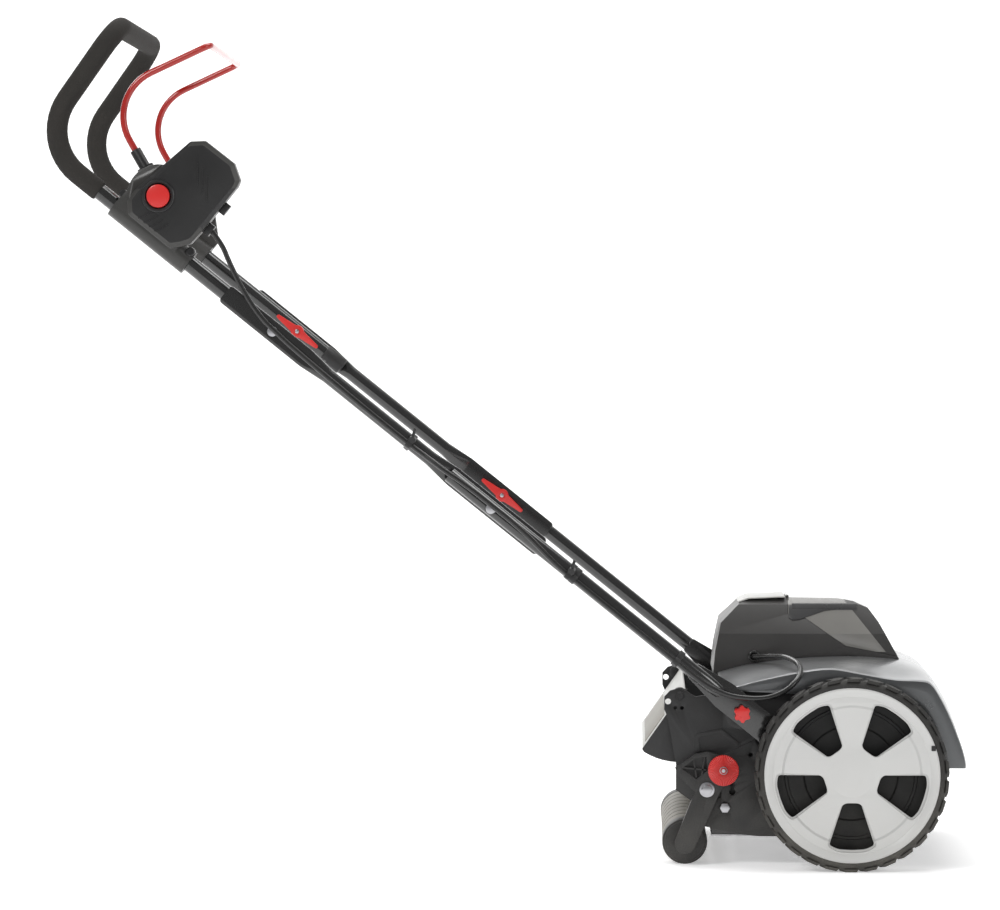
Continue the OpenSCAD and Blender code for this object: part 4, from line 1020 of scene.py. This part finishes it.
def makeRails():
    parts = []
    for y in (-tubes["middleY"], tubes["middleY"]):
        rings = [flatRing(rails["from"] + d, y, f) for d, f in rails["ends"]]
        rings.append(flatRing(rails["flatTo"] - 2, y))
        rings += [blendRing(rails["flatTo"] + rails["blend"] * t, y, t, power) for t, power in rails["blendSteps"]]
        rings.append(railSection(610, y, tubes["railR"], tubes["railR"], 2))
        rings += [blendRing(rails["flatFrom"] - rails["blend"] * t, y, t, power)
                  for t, power in reversed(rails["blendSteps"])]
        rings += [flatRing(rails["to"] - d, y, f) for d, f in reversed(rails["ends"])]
        parts.append(loft(rings))
    makePiece("middleRails", merged(parts, "middleRails"), "tubeBlack", "middle_handle", "tube_black", "middle_rails",
              smooth=40)
    parts = []
    nose = [(p[0] + 50, p[1]) for p in arc((0, 0), 19, -90, 90, 24)]
    outline = [(-84, -9.5), (-82, -11.2), (-30, -19)] + nose + [(-30, 19), (-82, 11.2), (-84, 9.5)]
    tilt = Matrix.Rotation(handle["slope"], 3, "Y")
    for side in (-1, 1):
        y = side * tubes["lowerY"]
        r = tubes["railR"]
        rings = [(34, 3.0, 4.0), (34.6, 5.6, 4.6), (38, 8.4, 5.4), (48, 9.6, 7.4), (62, r, 9.4), (74, r, r),
                 (494, r, r), (495, r - 0.4, r - 0.4)]
        parts.append(loft([railSection(s, y + side * (w - r) * 0.4, v, w, 2.0) for s, v, w in rings]))
        bracket = plateMesh(outline, [], 4.0, 0.9, "bracket")
        moved(bracket, (0, side * 221 * mm, 0))
        parts.append(moved(bracket, onLine(0, 0, 0), tilt))
    makePiece("lowerTubes", merged(parts, "lowerTubes"), "tubeBlack", "lower_handle", "tube_black", "lower_tubes",
              smooth=40)


makeGrip()
makeRails()

# ---- bail
wire = {"r": 4.5, "from": 50, "leg": 36.5, "bend": 64, "turn": 94.8, "rise": 74, "corner": 12, "half": 198}


def makeBail():
    c, k = math.cos(bail["slope"]), math.sin(bail["slope"])
    loop = loopRoute(wire["leg"], wire["bend"], wire["turn"], wire["rise"], wire["corner"], wire["half"], 14)
    points = []
    for x, y, z in loop:
        along = wire["from"] + x
        points.append(atBail(along * c - z * k, along * k + z * c, y))
    makePiece("bailWire", toMesh(sweep(points, wire["r"] * mm, 20), "bailWire"), "redWire", "bail", "red_wire",
              "bail_wire")


makeBail()
print("handle and bail made")

# ---- switch box cover with a bevelled rim, a raised face and plain slanting ribs
cover = {"outline": [(-12, 82.5), (3, 95.5), (51, 96), (71, 83.5), (73.5, 75), (73.5, -2), (72, -22), (64.5, -33),
                     (53.5, -44.5), (-16, -44), (-28.5, -30.5), (-29.5, -14.5), (-24.5, 15)],
         "middle": (22, 24), "back": 238.0, "front": 245.0, "bevel": 5.5, "hole": 15.7, "ring": 22.0,
         "holeSides": 48, "rimLean": 0.97, "rimFrom": 52, "bosses": [(76, -32), (-41, -28)],
         "ribs": {"size": (2.2, 1.8, 20), "tip": 24, "count": 4, "from": (2, -30), "step": (9, 0)},
         "upperRibs": {"size": (1.6, 1.4, 34), "tip": -38, "count": 3, "from": (22, 56), "step": (11, -4)}}


def coverRibs(key, name):
    ribs = cover[key]
    rib = block(*ribs["size"], tip=handle["slope"] + turn(ribs["tip"]))
    return repeated("along", rib, name, "boxPlastic", Count=ribs["count"], Start=inBox(*ribs["from"], -cover["front"]),
                    Step=inBox(*ribs["step"], 0) - inBox(0, 0, 0))


def makeCover():
    outline = rounded(cover["outline"], 3.0, 4)
    middle = Vector(cover["middle"])

    def ring(shrink, y):
        made = []
        for p in outline:
            q = Vector(p) - middle
            q *= (q.length - shrink) / q.length
            made.append(inBox(*(q + middle), -y))
        return made
    front, bevel = cover["front"], cover["bevel"]
    rings = [ring(0, cover["back"]), ring(0, front - 4.4), ring(0.5, front - 3.7), ring(bevel, front - 0.9),
             ring(bevel + 0.9, front - 0.2), ring(bevel + 2.4, front)]
    body = bmesh.new()
    made = [[body.verts.new(p) for p in loop] for loop in rings]
    count = len(outline)
    for a, b in zip(made, made[1:]):
        for k in range(count):
            body.faces.new((a[k], b[k], b[(k + 1) % count], a[(k + 1) % count]))
    # the raised face meets the button's hole
    hole = []
    for k in range(cover["holeSides"]):
        angle = math.tau * k / cover["holeSides"]
        hole.append(body.verts.new(inBox(cover["ring"] * math.cos(angle), cover["ring"] * math.sin(angle), -front)))
    rim = made[-1]
    edges = [body.edges.get((rim[k], rim[(k + 1) % count])) for k in range(count)]
    edges += [body.edges.new((a, b)) for a, b in zip(hole, hole[1:] + hole[:1])]
    bmesh.ops.triangle_fill(body, use_beauty=True, edges=edges)
    bmesh.ops.recalc_face_normals(body, faces=body.faces)
    h, r = cover["hole"], cover["ring"]
    collar = lathe([(r, -front), (r - 0.5, -front - 1.3), (r - 1.6, -front - 2.0), (h + 2.6, -front - 2.0),
                    (h + 1.4, -front - 1.2), (h + 0.8, -front + 0.6), (h, -front + 1), (h, -cover["back"]),
                    (r, -cover["back"])], inBox(0, 0, 0), 64, closed=True)
    ribs, upper = coverRibs("ribs", "coverRibs"), coverRibs("upperRibs", "coverUpperRibs")
    shell = makePiece("switchCover", merged([body, collar, ribs, upper], "switchCover"), "boxPlastic",
                      "upper_handle", "plastic_black", "switch_cover", smooth=22, extra=("clampPlastic",))
    # painted highlight: the cover's rim, bevel and side wall, gets the lighter clamp plastic in place of the light the
    # rim catches
    centre = inBox(*cover["middle"], -front)
    for polygon in shell.data.polygons:
        leans = abs(polygon.normal.y) < cover["rimLean"] and abs(polygon.center.y) < (front - 0.15) * mm
        isLitRim = leans and (polygon.center - centre).length > cover["rimFrom"] * mm
        polygon.material_index = 1 if isLitRim else 0
    profile = [(0, -217), (4.6, -217), (6, -216), (6, -205), (0, -205)]
    bosses = [lathe(profile, inBox(u, v, 0), 32) for u, v in cover["bosses"]]
    makePiece("clampBosses", merged(bosses, "clampBosses"), "boxPlastic", "upper_handle", "plastic_black")


makeCover()
print("switch box made")

# ---- cable along the handle and over the deck
cable = {"r": 3.5,
         "handle": [(940, 53, 226), (928, 50, 226), (914, 45, 226), (899, 37, 226), (870, 23, 226), (842, 12, 226),
                    (815, 5, 227), (796, 3, 227), (770, 1, 227.5), (740, 0, 228.5), (700, -1, 229.5),
                    (640, -2, 229.5), (565, -2, 229.5), (542, -1, 231.5), (520, 0, 238), (500, 1, 243),
                    (475, 3, 244.5), (450, 4, 245.8), (424, 4, 246.4), (395, 4, 245), (360, 2, 244), (325, -2, 243.2),
                    (300, -4, 242.6), (282, -4, 242.6), (262, -4, 242.6), (220, -4, 243), (160, -4, 243),
                    (130, -4, 242.6), (108, -4, 242.6)],
         "deck": [(-230, -242.6, 274), (-212.9, -242.6, 260.3), (-190, -243.5, 243.5), (-163, -243.5, 231),
                  (-136, -242, 226.5), (-110, -239, 227), (-88, -236, 235), (-73, -228, 247), (-66, -214, 257),
                  (-67, -200, 266), (-73, -180, 271), (-84, -155, 274), (-97, -130, 273.5), (-109, -114, 272),
                  (-119, -104, 270.5), (-124, -97.5, 270), (-124, -90.4, 270)]}


def makeCable():
    onHandle = [onLine(s, v, -y) for s, v, y in cable["handle"]]
    onDeck = [at(*p) for p in cable["deck"]]
    runs = (("cableUpper", onHandle[:12], "upper_handle", "middle_handle", onLine(850, 0, 0), onLine(742, 0, 0)),
            ("cableMiddle", onHandle[11:24], "middle_handle", "lower_handle", onLine(478, 0, 0), onLine(370, 0, 0)),
            ("cableLower", onHandle[23:28] + onDeck, "lower_handle", "deck", at(-215, 0, 258), at(-120, 0, 215)))
    for i, (name, points, a, b, start, end) in enumerate(runs):
        dense = smoothLine(points, 5)
        piece = makePiece(name, toMesh(sweep(dense, cable["r"] * mm, 16), name), "cableBlack", None, "cable_black",
                          "cable_on_handle" if i < 2 else "cable_on_deck")
        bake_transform(piece)


tie = {"strap": 1.15, "strapAt": (-2.6, -1.0, 0.8, 2.6), "clear": 1.2, "round": 4.9, "block": 7.2, "blockHalf": 4.6,
       "blockR": 5.0, "tail": ((8, 0), (14, 2), (22, 1)), "tailR": 2.1}


def makeTie(name, s, body, tubeY, tubeR, cableAt):
    # a strap round the tube and the cable, its lock block and its cut tail
    v, y = cableAt
    hub = Vector((0.0, -tubeY))
    far = Vector((v, -y))
    away = (far - hub).normalized()
    across = Vector((-away.y, away.x))
    ring = []
    for k in range(13):
        a = turn(90 + 180 * k / 12)
        ring.append(hub + (away * math.cos(a) + across * math.sin(a)) * (tubeR + tie["clear"]))
    for k in range(13):
        a = turn(-90 + 180 * k / 12)
        ring.append(far + (away * math.cos(a) + across * math.sin(a)) * tie["round"])
    ring += ring[:2]
    bands = [sweep([onLine(s + ds, p.x, p.y) for p in ring], tie["strap"] * mm, 8) for ds in tie["strapAt"]]
    middle = far + across * tie["block"]
    ends = [middle + away * reach for reach in (-tie["blockHalf"], tie["blockHalf"])]
    bands.append(sweep([onLine(s, p.x, p.y) for p in ends], tie["blockR"] * mm, 10))
    tail = [far + across * out + away * reach for out, reach in tie["tail"]]
    bands.append(sweep([onLine(s + 3 * i, p.x, p.y) for i, p in enumerate(tail)], tie["tailR"] * mm, 8))
    makePiece(name, merged(bands, name), "blackPlastic", body, "plastic_black")


makeCable()
makeTie("middleTie", 562, "middle_handle", tubes["middleY"], tubes["railR"], (-2, 229.5))
makeTie("lowerTie", 290, "lower_handle", tubes["lowerY"], tubes["railR"], (-4, 242.6))
print("cable made")

# ---- small visible details
details = {"armRibs": (((-222, 131), (-190, 128)), ((-207, 143), (-203, 118)), ((-192, 146), (-196, 120))),
           "ribWide": 7.6, "ribThick": 2.0, "ribY": 205.6, "screwR": 5.2, "screwAt": (-225, 0, 225.5), "screwY": 198,
           "pinAt": (-167.4, 0, 128.4),
           "pin": [(0, 223.6), (2.2, 223.6), (2.6, 223.2), (2.6, 222.6), (4.6, 222.6), (5.2, 222.0), (5.2, 221.0),
                   (0, 221.0)]}


def makeDetails():
    # ribs in the hollow of each roller arm
    parts = []
    for side in (-1, 1):
        for a, b in details["armRibs"]:
            start, end = Vector(a), Vector(b)
            angle = math.atan2(end.y - start.y, end.x - start.x)
            rib = block((end - start).length, details["ribWide"], details["ribThick"], tip=-angle)
            mid = (start + end) / 2
            parts.append(moved(rib, at(mid.x, side * details["ribY"], mid.y)))
    makePiece("armRibs", merged(parts, "armRibs"), "blackPlastic", "roller_frame", "plastic_black")
    # hollow screw heads
    r, y = details["screwR"], details["screwY"]
    head = [(0, y - 0.4), (r * 0.5, y - 0.4), (r * 0.55, y + 0.6), (r * 0.9, y + 0.6), (r, y), (r, y - 1), (0, y - 1)]
    parts = [lathe([(d, side * h) for d, h in head], at(*details["screwAt"]), 32) for side in (-1, 1)]
    makePiece("flapScrews", merged(parts, "flapScrews"), "blackPlastic", "deck", "plastic_black")
    for side, word in bothSides:
        pin = lathe([(d, side * h) for d, h in details["pin"]], at(*details["pinAt"]), 24)
        makePiece("indexPin" + word.title(), toMesh(pin, "indexPin"), "zinc", "index_knob_" + word, "zinc")


# x, and how far down the lid's slope, which starts at "y" and "z" and runs out and down
latch = {"shape": [(-76, 0.03), (9, 0.03), (2, 0.12), (-28, 0.22), (-62, 0.52), (-71, 0.54), (-76, 0.46)],
         "y": 62, "out": 26, "z": 338, "down": 38, "lifts": (0.1, 1.0), "edge": 0.4}


def makeLatch():
    # a dark wedge that lies on the lid's slope
    shape = latch["shape"]
    out = Vector((0, latch["down"], latch["out"])).normalized()
    parts = []
    for side in (-1, 1):
        bm = bmesh.new()
        rows = []
        for lift in latch["lifts"]:
            y, z = latch["y"] + out.y * lift, latch["z"] + out.z * lift
            rows.append([bm.verts.new(at(x, side * (y + latch["out"] * s), z - latch["down"] * s)) for x, s in shape])
        bm.faces.new(rows[1])
        bm.faces.new(list(reversed(rows[0])))
        for k in range(len(shape)):
            n = (k + 1) % len(shape)
            bm.faces.new((rows[0][k], rows[0][n], rows[1][n], rows[1][k]))
        bmesh.ops.recalc_face_normals(bm, faces=bm.faces)
        parts.append(bm)
    mesh = softMesh(merged(parts, "lidLatch"), "lidLatch", latch["edge"], 2, 30)
    makePiece("lidLatch", mesh, "barGrey", "battery_lid", "plastic_dark")


def makeRimClips():
    x, y, z = wheel["clipAt"]
    for side, word in bothSides:
        clip = moved(block(*wheel["clip"]), at(x, side * y, z))
        makePiece("rimClip" + word.title(), softMesh(toMesh(clip, "rimClip"), "rimClip", 0.8, 2), "blackPlastic",
                  "wheel_" + word, "plastic_black")


# top and foot of the flap's straight face, and how much of it the panel takes
flapPanel = {"top": (-243, 199), "foot": (-275, 153), "half": 150, "from": 0.06, "to": 0.86, "high": 0.7,
             "sunk": -0.4, "edge": 0.3}


def makeFlapPanel():
    # a plain raised panel on the flap's straight face
    top, foot = Vector(flapPanel["top"]), Vector(flapPanel["foot"])
    half, start, end = flapPanel["half"], flapPanel["from"], flapPanel["to"]
    high, sunk = flapPanel["high"], flapPanel["sunk"]
    out = Vector((foot.y - top.y, top.x - foot.x)).normalized()
    bm = bmesh.new()
    rows = []
    for t, lift in ((start, sunk), (start, high), (end, high), (end, sunk)):
        p = top.lerp(foot, t) + out * lift
        rows.append([bm.verts.new(at(p.x, y, p.y)) for y in (-half, half)])
    for k in range(4):
        n = (k + 1) % 4
        bm.faces.new((rows[k][0], rows[k][1], rows[n][1], rows[n][0]))
    bm.faces.new([row[0] for row in rows])
    bm.faces.new([row[1] for row in reversed(rows)])
    bmesh.ops.recalc_face_normals(bm, faces=bm.faces)
    mesh = softMesh(toMesh(bm, "flapPanel"), "flapPanel", flapPanel["edge"], 2)
    makePiece("flapPanel", mesh, "rollerGrey", "flap", "flap_light")


makeDetails()
makeFlapPanel()
makeLatch()
makeRimClips()
print("details made")
